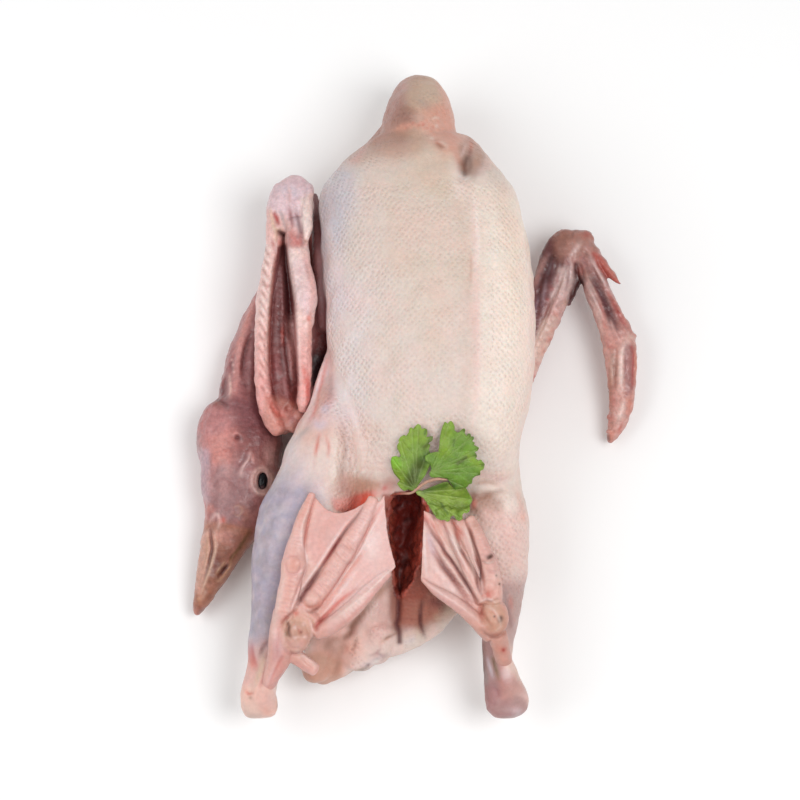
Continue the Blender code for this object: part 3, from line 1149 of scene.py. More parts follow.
@dataclass
class Body:
    """The breast, belly, tail, thighs and the root of the neck, with the cut in the belly."""

    cell: float = 1.5
    kept_faces: float = 0.62

    def flesh(self) -> Flesh:
        """The shapes of the body.

        Returns:
            The shapes, not yet melted together.
        """
        flesh = Flesh()
        flesh.loft(trunk_rings(8, 72))
        self.neck_root(flesh)
        self.belly(flesh)
        self.legs(flesh)
        return flesh

    @staticmethod
    def neck_root(flesh: Flesh) -> None:
        """The bump where the neck begins, the neck that turns under it, and the wings' roots.

        Args:
            flesh: The shapes so far.
        """
        r = 18
        flesh.ball((418.3, 130, 62), (28.3, 38.5, 31))
        flesh.strand(((420, 162, 72, 42, 34), (418.5, 138, 69, 38.5, 34), (418.8, 119, 63, 35.5, 30.5),
                      (419, 105, 56, 30, 24.5), (418.5, 100, 46, 22, 20)))
        flesh.limb(((-7, 172, 46, 19, 19), (-12, 165, 25, 19, 19), (-34, 138, 19, r + 1, r),
                    (-68, 95, 18, r, r), (-98, 53, 18, r, r)))
        flesh.limb(((-40, 80, 58, 22, 24), (-60, 60, 46, 15, 16), (-76, 0, 38, 12, 13)))
        flesh.limb(((34, 80, 50, 24, 24), (56, 50, 36, 18, 18), (66, 0, 27, 15, 14)))
        flesh.ball((472, 176, 62), (16, 20, 28))
        flesh.strand(((315, 197, 34, 3, 5), (316.5, 214, 42, 5, 9), (318, 245, 48, 6, 10),
                      (320, 290, 52, 6, 10), (322, 330, 50, 5, 9)))

    @staticmethod
    def belly(flesh: Flesh) -> None:
        """The soft belly behind the breastbone, the tail and its small nub.

        Args:
            flesh: The shapes so far.
        """
        flesh.limb((
            (0, -105, 50, 58, 46), (-2, -145, 48, 58, 44), (-8, -180, 44, 52, 40),
            (-15, -203, 38, 43, 32), (-28, -222, 33, 34, 23), (-40, -234, 30, 24, 15),
        ))
        flesh.limb(((-40, -215, 32, 28, 24), (-60, -242, 27, 22, 18), (-80, -263, 25, 12, 11)))
        flesh.strand(((430, 560, 48, 24, 26), (431, 590, 42, 22, 20), (428, 612, 36, 20, 14)))
        flesh.strand(((330, 632, 44, 20, 16), (319, 650, 40, 15, 13), (316, 664, 36, 14, 12),
                      (316.5, 672, 33, 14.5, 12)))
        flesh.strand(((366, 560, 52, 30, 28), (362, 600, 46, 32, 24), (352, 632, 38, 26, 16),
                      (347, 652, 34, 23, 13)))
        flesh.strand(((354, 636, 40, 24, 18), (359, 650, 37, 20, 14), (357.5, 661, 34, 16, 11)))
        flesh.strand(((376, 630, 42, 22, 18), (376, 645, 38, 18, 14), (376, 654, 34, 14.5, 10)))

    @staticmethod
    def legs(flesh: Flesh) -> None:
        """Both thighs, drumsticks and hocks, and the fold of skin from the left thigh to the flank.

        Args:
            flesh: The shapes so far.
        """
        flesh.strand((
            (352, 380, 52, 24, 24), (344, 408, 58, 32, 28), (336, 432, 64, 37, 31), (330, 457, 67, 44, 33),
            (317, 490, 66, 43, 33), (300, 528, 64, 45.5, 30), (284, 563, 61, 34, 26),
            (276, 600, 57, 24.5, 20), (269, 635, 53, 19.5, 15.5), (263, 664, 50, 15.5, 12.5),
            (257, 688, 47, 16, 12), (259, 703, 45, 18.5, 12), (260, 711, 45, 17, 9),
        ))
        flesh.strand(((272, 664, 60, 9, 9), (267, 680, 58, 11, 11), (263, 695, 53, 13, 11),
                      (261, 706, 46, 14, 9)))
        flesh.strand(((502, 650, 62, 9, 9), (503.5, 664, 60, 10.5, 10.5), (507.5, 682, 55, 13.5, 11),
                      (513.5, 701, 47, 17, 9)))
        flesh.strand(((330, 354, 60, 5, 5), (321, 380, 64, 5, 7), (314, 402, 66, 4.5, 7),
                      (309, 414, 66, 4.2, 6.5), (301, 428, 63, 4, 6), (296, 438, 58, 2.5, 4)))
        flesh.strand((
            (474, 408, 60, 36, 32), (480, 450, 62, 38, 31), (486, 490, 62, 36, 31), (492, 525, 60, 38, 31),
            (497, 556, 57, 32.5, 27), (502, 585, 55, 24, 21), (502, 612, 54, 18.5, 16),
            (498, 638, 51, 16, 14), (497, 662, 48, 14.5, 12.5), (500, 684, 46, 16.5, 12),
            (507, 702, 45, 22.5, 12), (509, 710, 45, 20, 9),
        ))

    @staticmethod
    def opening() -> Flesh:
        """The cut in the belly, wide at the breast and narrow towards the tail.

        Returns:
            The shape to take away from the body.
        """
        flesh = Flesh()
        flesh.strand(((407, 502, 82, 17, 27), (408, 511, 80, 19, 31), (406.5, 530, 78, 16.5, 31),
                      (405.5, 548, 76, 14.5, 29), (405, 562, 74, 12, 26), (403, 578, 72, 8, 21),
                      (399.5, 594, 70, 3, 15)))
        return flesh

    @staticmethod
    def breast_marks() -> tuple[Mark, ...]:
        """The keel, the flanks and the folds at the breast's lower end.

        Returns:
            The marks, in the order in which they go on.
        """
        return (
            patch(((322, 176), (342, 176), (340, 205), (334, 236), (322, 244)), 11, Tone.BLUE_GREY, 0.8),
            patch(((322, 250), (334, 250), (338, 300), (326, 320)), 8, Tone.LILAC, 0.5),
            # painted light: the breast right of the keel is made paler
            patch(((482, 190), (520, 215), (534, 300), (534, 400), (500, 440), (482, 400)), 10, Tone.CREAM,
                  0.75),
            stain(((497, 180), (512, 230), (516, 330)), 10, Tone.SAND, 0.25),
            stain(((529, 260), (532, 330), (527, 420), (520, 470)), 6, Tone.PINK, 0.5),
            patch(((395, 150), (450, 160), (462, 260), (430, 330), (405, 260)), 16, Tone.SAND, 0.22),
            stain(((372, 195), (385, 290), (392, 360)), 12, Tone.PINK, 0.12),
            groove(((458, 195), (465, 230), (466, 280), (466, 340), (465, 400), (462, 450)), 5.5, 1.0,
                   Tone.TAN, 0.16),
            groove(((470.5, 252), (471.5, 268), (470, 284)), 1.6, 0.5, Tone.TAN, 0.55),
            ridge(((470, 192), (475, 230), (476, 280), (478, 340), (476, 400), (470, 445)), 2.6, 0.5,
                  Tone.PINK, 0.65),
            # painted highlight along the keel
            stain(((474, 195), (478, 235), (478, 262)), 1.6, Tone.PALE, 0.6),
            stain(((468, 290), (474, 330), (472, 380)), 3.5, Tone.ROSE, 0.35),
            *rungs(((470, 288), (476, 300), (474, 322)), 3.5, 4.5, 0.9, 0.4, Tone.ROSE, 0.4),
            ridge(((350, 255), (346, 300), (348, 360)), 6, 0.5),
            stain(((323, 195), (324, 240), (328, 290)), 3, Tone.LAVENDER, 0.6),
            stain(((328, 190), (330, 205), (330, 222)), 7, Tone.LAVENDER, 0.5),
            stain(((352, 164), (360, 158), (372, 150)), 5, Tone.TAN, 0.4),
            stain(((327, 290), (330, 330), (330, 360)), 2, Tone.PINK, 0.7),
        )

    @staticmethod
    def breast_end_marks() -> tuple[Mark, ...]:
        """The wrinkled end of the breast, above the feet.

        Returns:
            The marks, in the order in which they go on.
        """
        return (
            groove(((341, 420), (344, 436), (345, 452), (343, 470), (342, 484)), 2.4, 1.8, Tone.BROWN,
                   0.55),
            groove(((344, 424), (348, 440), (346, 452), (350, 462)), 1.3, 1.2, Tone.MAUVE, 0.8),
            groove(((339, 424), (341, 440), (338, 456), (340, 470)), 1.2, 0.8, Tone.ROSE, 0.6),
            groove(((353, 436), (356, 452), (354, 470)), 1.1, 0.6, Tone.ROSE, 0.55),
            groove(((347, 428), (351, 446), (351, 462), (350, 478)), 1.5, 1.0, Tone.ROSE, 0.65),
            ridge(((346, 424), (348, 440), (348, 466)), 1.3, 0.5, Tone.PALE, 0.4),
            *rungs(((352, 470), (362, 474), (374, 478)), 9, 5.5, 1.0, 0.7, Tone.ROSE, 0.6, 8),
            *rungs(((343, 488), (356, 491), (370, 491)), 9, 4.2, 1.1, 1.3, Tone.RAW, 0.75, 0),
            stain(((344, 482), (356, 486), (372, 484)), 5, Tone.TAN, 0.5),
            patch(((330, 480), (345, 478), (362, 482), (376, 486), (370, 496), (350, 506), (333, 502)), 4,
                  Tone.TAN, 0.9),
            stain(((338, 484), (346, 494), (352, 500)), 5.0, Tone.RAW, 0.45),
            patch(((334, 500), (350, 500), (366, 494), (374, 493), (366, 504), (350, 513), (336, 508)), 2.2,
                  Tone.CORAL, 0.95),
            stain(((340, 504), (354, 507), (366, 500), (374, 494)), 3.0, Tone.EMBER, 0.85),
            stain(((386, 476), (391, 487), (384, 492)), 6.0, Tone.RAW, 0.6),
            stain(((387, 490), (382, 487)), 3.2, Tone.RED, 0.75),
            stain(((370, 492), (380, 494), (390, 492)), 2.4, Tone.ROSE, 0.75),
            stain(((398, 488), (412, 491), (430, 486), (448, 482)), 4, Tone.ROSE, 0.55),
            stain(((432, 434), (437, 446), (433, 462)), 4, Tone.ROSE, 0.5),
            *rungs(((352, 428), (370, 430), (388, 434)), 2, 3, 1.2, 0.25, Tone.ROSE, 0.12, 90),
            *(groove(((356, row), (372, row + 2), (388, row + 3)), 0.9, 0.3, Tone.ROSE, 0.28)
              for row in (424, 430, 437, 443, 449, 455, 461, 467)),
            stain(((350, 440), (370, 455), (380, 470)), 10, Tone.PINK, 0.4),
            groove(((478, 500), (486, 495), (494, 492.5), (505, 490)), 1.6, 1.8, Tone.BROWN, 0.65),
            groove(((470, 476), (482, 474), (500, 478), (514, 474)), 3.2, 0.8, Tone.ROSE, 0.5),
            groove(((474, 484), (486, 482), (500, 486)), 1.6, 0.7, Tone.TAN, 0.6),
            # partly painted shadow of the lower leaflet, beside a dent
            patch(((474, 496), (486, 496), (500, 502), (500, 520), (488, 524), (474, 508)), 4.0, Tone.BROWN,
                  0.75, 1.2),
            # painted shadow of the right foot on the thigh, reddish
            stain(((496, 516), (502, 535), (507, 556), (511, 585)), 4.5, Tone.RAW, 0.4),
            stain(((474, 498), (474, 510)), 2.2, Tone.CORAL, 0.6),
            stain(((500, 500), (512, 505), (520, 500)), 6, Tone.PALE, 0.5),
            *(groove(((480 + 6 * k, 512 - 3 * k), (492 + 5 * k, 524), (512 + 2 * k, 538 + k)), 1.0, 0.35,
                     Tone.ROSE, 0.3)
              for k in range(4)),
            stain(((484, 504), (492, 520), (500, 536)), 6, Tone.TAN, 0.4),
            stain(((516, 490), (523, 512), (521, 520)), 2.5, Tone.SALMON, 0.4),
            groove(((523, 500), (518, 514), (510, 524)), 2.4, 0.7, Tone.ROSE, 0.4),
        )

    @staticmethod
    def neck_root_marks() -> tuple[Mark, ...]:
        """The bump, the crease below it and the dimple by the right shoulder.

        Returns:
            The marks, in the order in which they go on.
        """
        return (
            patch(((380, 134), (384, 112), (392, 94), (402, 82), (412, 78), (412, 100), (404, 124),
                   (396, 136)), 7, Tone.MAUVE, 0.72),
            patch(((380, 134), (384, 112), (392, 94), (402, 82), (430, 78), (448, 96), (458, 130)), 6,
                  Tone.TAN, 0.45),
            patch(((374, 142), (382, 118), (398, 108), (410, 122), (400, 138)), 7, Tone.BROWN, 0.4),
            patch(((412, 80), (430, 80), (446, 98), (450, 112), (430, 112), (414, 104)), 6, Tone.SAND, 0.6),
            patch(((428, 114), (448, 108), (455, 122), (457, 138), (446, 150), (436, 138)), 7, Tone.SALMON,
                  0.55),
            stain(((440, 88), (446, 94), (450, 102)), 1.8, Tone.SALMON, 0.7),
            stain(((405, 80), (418, 76), (430, 79)), 2.4, Tone.TAN, 0.6),
            stain(((401, 88), (408, 84)), 3.5, Tone.ROSE, 0.7),
            stain(((398, 110), (408, 109), (416, 113)), 2.6, Tone.BROWN, 0.5),
            groove(((394, 117), (403, 114), (411, 113)), 1.2, 0.5, Tone.UMBER, 0.25),
            stain(((418, 99), (424, 104), (428, 110)), 3.0, Tone.GREY, 0.3),
            stain(((428, 116), (450, 116), (452, 134), (458, 150)), 6.5, Tone.SALMON, 0.65),
            groove(((380, 132), (392, 132), (404, 133), (414, 132)), 4.0, 0.5, Tone.BROWN, 0.45),
            stain(((384, 128), (398, 128), (412, 130)), 5, Tone.BROWN, 0.3),
            stain(((388, 123), (400, 120), (412, 118)), 2.4, Tone.BROWN, 0.35),
            stain(((397, 127), (406, 126), (415, 125), (426, 124)), 2.2, Tone.SALMON, 0.6),
            stain(((388, 131), (397, 130), (408, 130)), 2.0, Tone.SALMON, 0.45),
            *(ridge(((right, down),), 1.0, 0.8, Tone.SALMON, 0.75) for right, down in (
                (397, 128), (401, 126), (404.5, 128), (408, 125), (411, 127.5), (415, 125), (418, 128),
                (421, 122), (426, 120), (429, 125), (424, 129), (431, 131), (434, 135), (438, 130),
                (446, 122), (443, 128))),
            *(groove(((right, down),), 0.9, 0.7, Tone.CORAL, 0.5)
              for right, down in ((406, 128), (413, 123), (419, 125), (423, 125), (427, 128), (433, 127))),
            stain(((423.5, 124),), 1.6, Tone.CORAL, 0.4),
            # painted highlight on the bump's crease
            ridge(((432, 119), (436, 117.5), (440, 118.5)), 0.8, 0.6, Tone.PALE, 0.5),
            ridge(((436, 125), (437.5, 127)), 0.9, 0.5, Tone.PALE, 0.6),
            stain(((430, 137), (434, 140)), 1.4, Tone.PALE, 0.6),
            groove(((436, 142), (440, 145.5), (444, 148)), 2.0, 1.4, Tone.RAW, 0.9),
            stain(((436, 141), (439, 143)), 1.6, Tone.CORAL, 0.7),
            ridge(((436, 141), (441, 142), (446, 145), (448, 150)), 1.0, 0.7, Tone.PALE, 0.45),
            ridge(((444, 151), (450, 148), (452, 140)), 2.2, 0.5, Tone.SALMON, 0.5),
            patch(((382, 132), (416, 134), (416, 146), (396, 152), (374, 148)), 7, Tone.TAN, 0.6),
            stain(((366, 147), (358, 156), (350, 164)), 2.6, Tone.ROSE, 0.75),
            patch(((418, 140), (450, 152), (460, 175), (440, 190), (420, 170)), 7, Tone.SAND, 0.3),
            stain(((456, 158), (458, 180), (462, 200)), 5, Tone.PALE, 0.5),
            patch(((462, 150), (470, 140), (480, 152), (482, 164), (472, 174), (463, 177)), 4, Tone.BROWN,
                  0.6, 2.2),
            stain(((452, 146), (457, 156), (460, 166)), 3.0, Tone.SALMON, 0.6),
            stain(((474, 152), (480, 158), (476, 168)), 3.4, Tone.TAN, 0.7),
            groove(((471, 142), (470.5, 150), (469, 158)), 1.6, 2.0, Tone.RAW, 0.75),
            groove(((468, 154), (465, 164), (464.5, 175)), 2.6, 2.8, Tone.UMBER, 0.8),
            groove(((470, 158), (471, 166), (468, 174)), 1.6, 1.4, Tone.UMBER, 0.5),
            groove(((460, 160), (463, 167), (466, 174)), 1.8, 2.6, Tone.BROWN, 0.8),
            groove(((474, 148), (477, 158), (473, 168)), 2.6, 1.2, Tone.TAN, 0.6),
            stain(((466, 176), (462, 172)), 1.6, Tone.UMBER, 0.8),
            stain(((486, 158), (485, 167), (478, 174)), 3.5, Tone.PINK, 0.5),
            ridge(((466, 144), (464, 150), (461, 157)), 1.2, 1.0, Tone.PINK, 0.7),
            ridge(((458, 172), (464, 179), (472, 177)), 2.2, 0.8, Tone.PALE, 0.6),
            stain(((470, 142), (473, 150)), 1.6, Tone.SALMON, 0.6),
        )

    @staticmethod
    def left_leg_marks() -> tuple[Mark, ...]:
        """The left thigh, lavender down to the hock, and its folds.

        Returns:
            The marks, in the order in which they go on.
        """
        return (
            patch(((300, 436), (336, 420), (342, 500), (312, 492), (290, 496), (290, 456)), 9, Tone.PINK,
                  0.5),
            stain(((304, 428), (292, 446), (284, 470), (274, 496)), 5, Tone.BLUE_GREY, 0.6),
            stain(((304, 452), (298, 470), (290, 488)), 6, Tone.LILAC, 0.5),
            patch(((320, 360), (331, 352), (333, 400), (322, 412), (314, 424), (314, 400)), 2.6, Tone.ROSE,
                  0.6),
            stain(((326, 385), (324, 397), (322, 408)), 4.0, Tone.RAW, 0.45),
            # painted shadow below the left wing's tip, over red skin
            stain(((314, 414), (306, 420), (298, 428)), 4.0, Tone.BROWN, 0.5),
            patch(((298, 404), (322, 398), (328, 428), (306, 438)), 7, Tone.SALMON, 0.4),
            stain(((340, 464), (343, 480), (346, 494)), 5.0, Tone.RAW, 0.35),
            stain(((330, 372), (331, 390), (329, 402)), 2.0, Tone.PLUM, 0.3),
            stain(((322, 414), (328, 404)), 3.2, Tone.BLUE_GREY, 0.5),
            groove(((328, 356), (323, 376), (318, 398), (315, 412), (309, 421)), 1.5, 1.2, Tone.CORAL,
                   0.75),
            ridge(((325, 354), (318, 380), (311, 404), (306, 418), (297, 430)), 2.4, 0.8, Tone.PINK, 0.95),
            groove(((312, 425), (303, 433), (296, 440)), 2.0, 0.7, Tone.GREY, 0.5),
            groove(((319, 434), (317, 446), (315, 456)), 1.3, 1.1, Tone.CORAL, 0.7),
            stain(((312, 420), (320, 426), (326, 420)), 3.5, Tone.LILAC, 0.7),
            groove(((326, 436), (329, 446), (328, 456)), 1.4, 0.9, Tone.CORAL, 0.55),
            groove(((314, 438), (322, 432)), 1.3, 0.6, Tone.ROSE, 0.5),
            groove(((316, 458), (313, 468)), 1.2, 0.4, Tone.ROSE, 0.35),
            ridge(((332, 430), (336, 450), (334, 474), (326, 492)), 4.0, 0.8, Tone.CREAM, 0.5),
            groove(((288, 468), (278, 500), (270, 530)), 3.0, 0.8, Tone.GREY, 0.2),
            *(groove(((280 - k * 3, 470 + 22 * k), (272 - k * 3, 486 + 22 * k)), 1.4, 0.4, Tone.GREY, 0.18)
              for k in range(5)),
            patch(((249, 646), (262, 640), (272, 644), (262, 690), (250, 700), (240, 698)), 5, Tone.ROSE,
                  0.85),
            stain(((251, 641), (253, 655), (257, 668)), 1.5, Tone.RED, 0.6),
            stain(((249, 645), (250, 656), (254, 668)), 3.0, Tone.CORAL, 0.7),
            groove(((270, 640), (264, 648), (260.5, 656)), 1.6, 1.4, Tone.BROWN, 0.7),
            ridge(((264, 655), (260, 672), (254, 688)), 2.2, 1.0, Tone.SAND, 0.75),
            groove(((268, 664), (265, 677), (259.5, 688), (255, 700)), 1.7, 1.8, Tone.RED, 0.6),
            patch(((243, 692), (256, 690), (270, 694), (280, 700), (276, 720), (246, 720)), 5, Tone.FOOT,
                  0.85),
            stain(((262, 688), (266, 700), (258, 712)), 9, Tone.ROSE, 0.65),
            groove(((245, 690), (249, 694), (254, 692)), 1.3, 1.0, Tone.CORAL, 0.65),
            stain(((249, 697), (252, 699)), 1.3, Tone.BROWN, 0.5),
            stain(((278, 705), (280, 708)), 1.5, Tone.UMBER, 0.8),
            stain(((243, 710), (252, 716), (262, 714)), 3, Tone.GREY, 0.3),
            stain(((262, 708), (270, 714)), 3, Tone.SALMON, 0.4),
        )

    @staticmethod
    def right_leg_marks() -> tuple[Mark, ...]:
        """The right thigh in bumpy rows, mauve towards the hock.

        Returns:
            The marks, in the order in which they go on.
        """
        rows = tuple(
            groove(((480 + 5 * k, 506 + 9 * k), (500 + 4 * k, 517 + 9 * k), (524 + k, 524 + 9 * k)), 1.0,
                   0.45, Tone.ROSE, 0.4)
            for k in range(8)
        )
        return (
            patch(((486, 516), (530, 520), (530, 580), (504, 580)), 6, Tone.PINK, 0.6),
            *rows,
            stain(((521, 514), (526, 522)), 2.2, Tone.SALMON, 0.4),
            stain(((498, 512), (510, 530), (516, 552)), 8, Tone.ROSE, 0.25),
            patch(((505, 590), (524, 590), (520, 615), (512, 640), (506, 622)), 9, Tone.MAUVE, 0.6),
            stain(((505, 590), (508, 612), (512, 630)), 2.2, Tone.PLUM, 0.45),
            stain(((510, 595), (512, 610)), 2.0, Tone.CORAL, 0.35),
            patch(((476, 636), (496, 640), (502, 690), (484, 708), (480, 670)), 4, Tone.MAUVE, 0.8),
            stain(((481, 640), (483, 665), (485, 706)), 2.6, Tone.UMBER, 0.8),
            stain(((484, 684), (485, 698)), 3.5, Tone.OLIVE, 0.5),
            ridge(((487, 657), (490, 668), (493, 678)), 1.2, 0.9, Tone.BLUE_GREY, 0.6),
            stain(((486, 668), (487, 684), (489, 696)), 2.0, Tone.GREY, 0.6),
            groove(((492, 656), (496, 668), (500, 684)), 1.6, 1.8, Tone.OLIVE, 0.8),
            stain(((497, 655), (503, 672)), 2.4, Tone.MAUVE, 0.5),
            groove(((494, 688), (498, 691), (497, 698)), 1.6, 1.3, Tone.MAUVE, 0.85),
            stain(((496, 700), (494, 706)), 1.4, Tone.PLUM, 0.6),
            patch(((486, 690), (512, 680), (530, 702), (530, 718), (490, 718)), 5, Tone.MAUVE, 0.78),
            patch(((500, 650), (514, 650), (520, 690), (504, 696)), 4, Tone.SALMON, 0.25),
            stain(((504, 668), (508, 680)), 4.0, Tone.LILAC, 0.45),
            stain(((520, 692), (530, 700), (532, 712)), 3.0, Tone.PINK, 0.7),
            stain(((500, 700), (506, 708)), 5, Tone.MAUVE, 0.5),
            stain(((512, 710), (522, 714)), 4, Tone.LILAC, 0.5),
            stain(((486, 706), (498, 714), (520, 716)), 2.4, Tone.MAUVE, 0.5),
        )

    @staticmethod
    def belly_marks() -> tuple[Mark, ...]:
        """The skin round the cut, the two lobes behind it, and the tail.

        Returns:
            The marks, in the order in which they go on.
        """
        fine = tuple(
            groove(((338 + 6.5 * k, 652 - 4.5 * k), (345 + 6 * k, 632 - 5 * k),
                    (352 + 5.5 * k, 612 - 5 * k)), 1.4, 0.35, Tone.ROSE, 0.22)
            for k in range(7)
        )
        return (
            patch(((346, 600), (398, 570), (398, 650), (350, 674), (318, 680), (320, 640)), 5, Tone.PINK,
                  0.8),
            patch(((322, 640), (345, 620), (352, 650), (330, 676), (316, 672)), 7, Tone.SALMON, 0.4),
            stain(((345, 644), (352, 652)), 4, Tone.SALMON, 0.5),
            stain(((384, 600), (384, 620), (376, 640)), 7, Tone.ROSE, 0.55),
            stain(((370, 612), (360, 632), (352, 650)), 8, Tone.SALMON, 0.3),
            stain(((394, 574), (393, 600), (394, 630)), 2.6, Tone.RAW, 0.55),
            *fine,
            patch(((404, 560), (430, 560), (446, 590), (436, 604), (402, 604)), 6, Tone.RAW, 0.75),
            patch(((400, 590), (434, 594), (430, 614), (416, 622), (400, 622)), 6, Tone.BROWN, 0.8),
            patch(((402, 570), (424, 570), (446, 604), (424, 620), (400, 620)), 7, Tone.BROWN, 0.7),
            patch(((398, 590), (422, 594), (421, 622), (400, 628)), 5, Tone.BROWN, 0.5),
            patch(((422, 590), (436, 598), (434, 616), (422, 628)), 6, Tone.BROWN, 0.4),
            stain(((442, 610), (450, 608), (444, 618)), 5, Tone.SAND, 0.6),
            *rungs(((411, 586), (410, 604), (408, 622)), 9, 4.5, 1.1, 0.6, Tone.MUSCLE, 0.45),
            stain(((406, 630), (412, 635), (406, 643)), 4, Tone.LILAC, 0.6),
            stain(((430, 626), (436, 632), (428, 636)), 3.5, Tone.PINK, 0.7),
            stain(((404, 640), (414, 632), (420, 640)), 3.0, Tone.SAND, 0.4),
            *rungs(((430, 600), (436, 610), (438, 622)), 8, 4, 1.1, 0.4, Tone.RAW, 0.35),
            patch(((404, 600), (434, 600), (432, 616), (404, 622)), 6, Tone.CORAL, 0.22),
            # painted shadow under the left foot's pad
            stain(((322, 640), (331, 650), (322, 661)), 7.0, Tone.BROWN, 0.6),
            stain(((390, 654), (380, 659), (371, 664)), 3.0, Tone.OLIVE, 0.4),
            stain(((434, 620), (440, 616)), 3.5, Tone.SAND, 0.4),
            stain(((428, 600), (436, 603), (448, 606)), 3.5, Tone.MUSCLE, 0.6),
            stain(((398, 578), (400, 600), (400, 622)), 4.0, Tone.RAW, 0.6),
            groove(((396, 562), (398, 580), (398.5, 600), (398, 618), (396.5, 624), (399, 632),
                    (399.5, 642)), 2.0, 3.0, Tone.WINE, 0.95, fade=False),
            groove(((423, 598), (420.5, 612), (420.5, 624), (425, 637)), 1.6, 3.0, Tone.WINE, 0.9),
            groove(((380, 642), (386, 639), (391, 634)), 1.4, 1.2, Tone.TAN, 0.6),
            groove(((375, 652), (380, 655), (386, 656)), 1.2, 1.0, Tone.MAUVE, 0.6),
            groove(((357, 636), (355, 645), (352, 652)), 1.8, 1.2, Tone.BROWN, 0.5),
            groove(((385, 639), (391, 636), (398, 632)), 1.2, 1.4, Tone.BROWN, 0.6),
            # a pressed crease stained brown as the painted shadow of the left foot's web
            groove(((376, 598), (364, 611), (353, 625), (349, 634), (340, 640)), 2.6, 2.0, Tone.BROWN, 0.9),
            ridge(((384, 600), (374, 612), (364, 624), (357, 636)), 3.0, 1.0, Tone.PINK, 0.4),
            # these two brown stains carry on the same painted shadow at both ends
            stain(((340, 638), (331, 641), (325, 650)), 2.6, Tone.BROWN, 0.5),
            stain(((392, 580), (382, 590), (374, 598)), 3.0, Tone.BROWN, 0.55),
            stain(((384, 586), (374, 596)), 4, Tone.TAN, 0.6),
            groove(((342, 642), (340, 652), (338, 662)), 3.0, 0.6, Tone.TAN, 0.4),
            groove(((374, 630), (380, 640), (378, 652), (372, 660)), 1.2, 0.5, Tone.ROSE, 0.4),
            groove(((382, 648), (376, 653), (369, 656)), 1.2, 0.6, Tone.MAUVE, 0.4),
            stain(((385, 655), (372, 663), (360, 668)), 3.0, Tone.LILAC, 0.55),
            stain(((370, 668), (363, 670), (357, 673)), 1.4, Tone.GREY, 0.35),
            patch(((298, 664), (320, 656), (338, 662), (338, 690), (304, 690)), 5, Tone.SALMON, 0.5),
            patch(((298, 664), (318, 656), (338, 664), (338, 690), (304, 690)), 4, Tone.TAN, 0.75),
            groove(((333, 676), (337, 668), (338, 660)), 2.0, 0.8, Tone.BROWN, 0.4),
            stain(((306, 676), (314, 684), (326, 686)), 4, Tone.TAN, 0.7),
            stain(((368, 667), (358, 671), (350, 673)), 1.6, Tone.OLIVE, 0.55),
            groove(((366, 666), (370, 664)), 1.2, 1.4, Tone.UMBER, 0.6),
            ridge(((380, 660), (372, 664)), 1.4, 0.6, Tone.PALE, 0.5),
            patch(((384, 496), (392, 497), (393, 520), (395, 548), (398, 566), (388, 566), (384, 530)), 1.6,
                  Tone.RAW, 0.95),
            patch(((422, 500), (432, 504), (430, 580), (424, 596), (401, 598), (404, 584), (420, 560)), 2.2,
                  Tone.RAW, 0.8),
            ridge(((396, 529), (399, 534), (401, 541)), 1.6, 0.8, Tone.TAN, 0.6),
            stain(((420, 524), (422, 560), (424, 580)), 1.6, Tone.WINE, 0.5, fade=False),
        )

    def dress(self, skin: Skin) -> None:
        """Gives the skin its colours and folds.

        Args:
            skin: The body's skin.
        """
        skin.lift(lumps(skin.co, 22, 3, 3) * 0.45)
        skin.mottle(30, 11, Tone.PINK, 0.25)
        skin.mottle(24, 12, Tone.SAND, 0.1)
        for marks in (self.breast_marks(), self.breast_end_marks(), self.neck_root_marks(),
                      self.left_leg_marks(), self.right_leg_marks(), self.belly_marks()):
            skin.mark(marks)
        skin.lift(skin.cut * lumps(skin.co, 8, 21, 3))
        self.dress_cut(skin)
        self.bruise(skin)
        self.dress_sides(skin)
        self.dress_gap(skin)
        self.dress_neck_root(skin)
        # painted shade: skin that faces down is tinted rose
        below = smooth_step(-skin.normal[:, 2], 0.1, 0.9)
        skin.stain(below * 0.4, Tone.ROSE)
        skin.values["pores"] *= self.pore_strength(skin)

    @staticmethod
    def dress_sides(skin: Skin) -> None:
        """Cools the left flank, paints light on the right shoulder and the sides, paints shade on the tops,
        and warms the bump's rim.

        Args:
            skin: The body's skin.
        """
        torso_end = 500
        right, down = skin.seen.T
        side = 1 - smooth_step(skin.normal[:, 2], 0.3, 0.95)
        torso = smooth_step(torso_end - down, 0, 40)
        cool = smooth_step(down, 240, 310) * (1 - smooth_step(down, 410, 440))
        cool *= 1 - smooth_step(right, 350, 385)
        skin.tint *= 1 + cool[:, None] * np.array((0.04, 0.08, 0.18))
        # painted light: the right shoulder and flank are made paler
        painted_light = smooth_step(right, 478, 520) * torso
        skin.tint *= 1 + (0.15 * painted_light * (1 - 0.6 * smooth_step(down, 330, 420)))[:, None]
        # painted shade: skin that faces up is made darker than skin that faces sideways
        skin.tint *= 1 - ((1 - side) * torso)[:, None] * np.array((0.09, 0.07, 0.06))
        flank = smooth_step(down, 135, 180)
        # painted light: the sideways-facing flanks are stained cream
        skin.stain(side * torso * flank * skin.front * 0.35, Tone.CREAM)
        rim = side * (1 - flank) * skin.shown
        skin.stain(rim * (1 - smooth_step(right, 396, 424)) * 0.55, Tone.MAUVE)
        skin.stain(rim * smooth_step(right, 424, 440) * 0.5, Tone.SALMON)
        skin.stain(rim * 0.3, Tone.TAN)

    @staticmethod
    def dress_gap(skin: Skin) -> None:
        """Darkens the low skin in the gap beside the left wing, partly painted shade, with a paler strip
        along the flank.

        Args:
            skin: The body's skin.
        """
        # the dark muscle red in the gap is partly painted shade between the wing and the flank
        gap = patch(((300, 186), (321, 188), (321, 240), (324, 280), (330, 300), (334, 366), (314, 372),
                     (298, 400)), 1.2, Tone.MUSCLE, 0.95)
        strip = stain(((318, 200), (319, 250), (321, 300), (322, 330)), 3.0, Tone.MAUVE, 0.8)
        gap_height = 66
        low = smooth_step(gap_height - skin.co[:, 2], 0, 6)
        for mark in (gap, strip):
            skin.stain(mark.weight(skin.seen) * low * mark.strength, mark.tone)

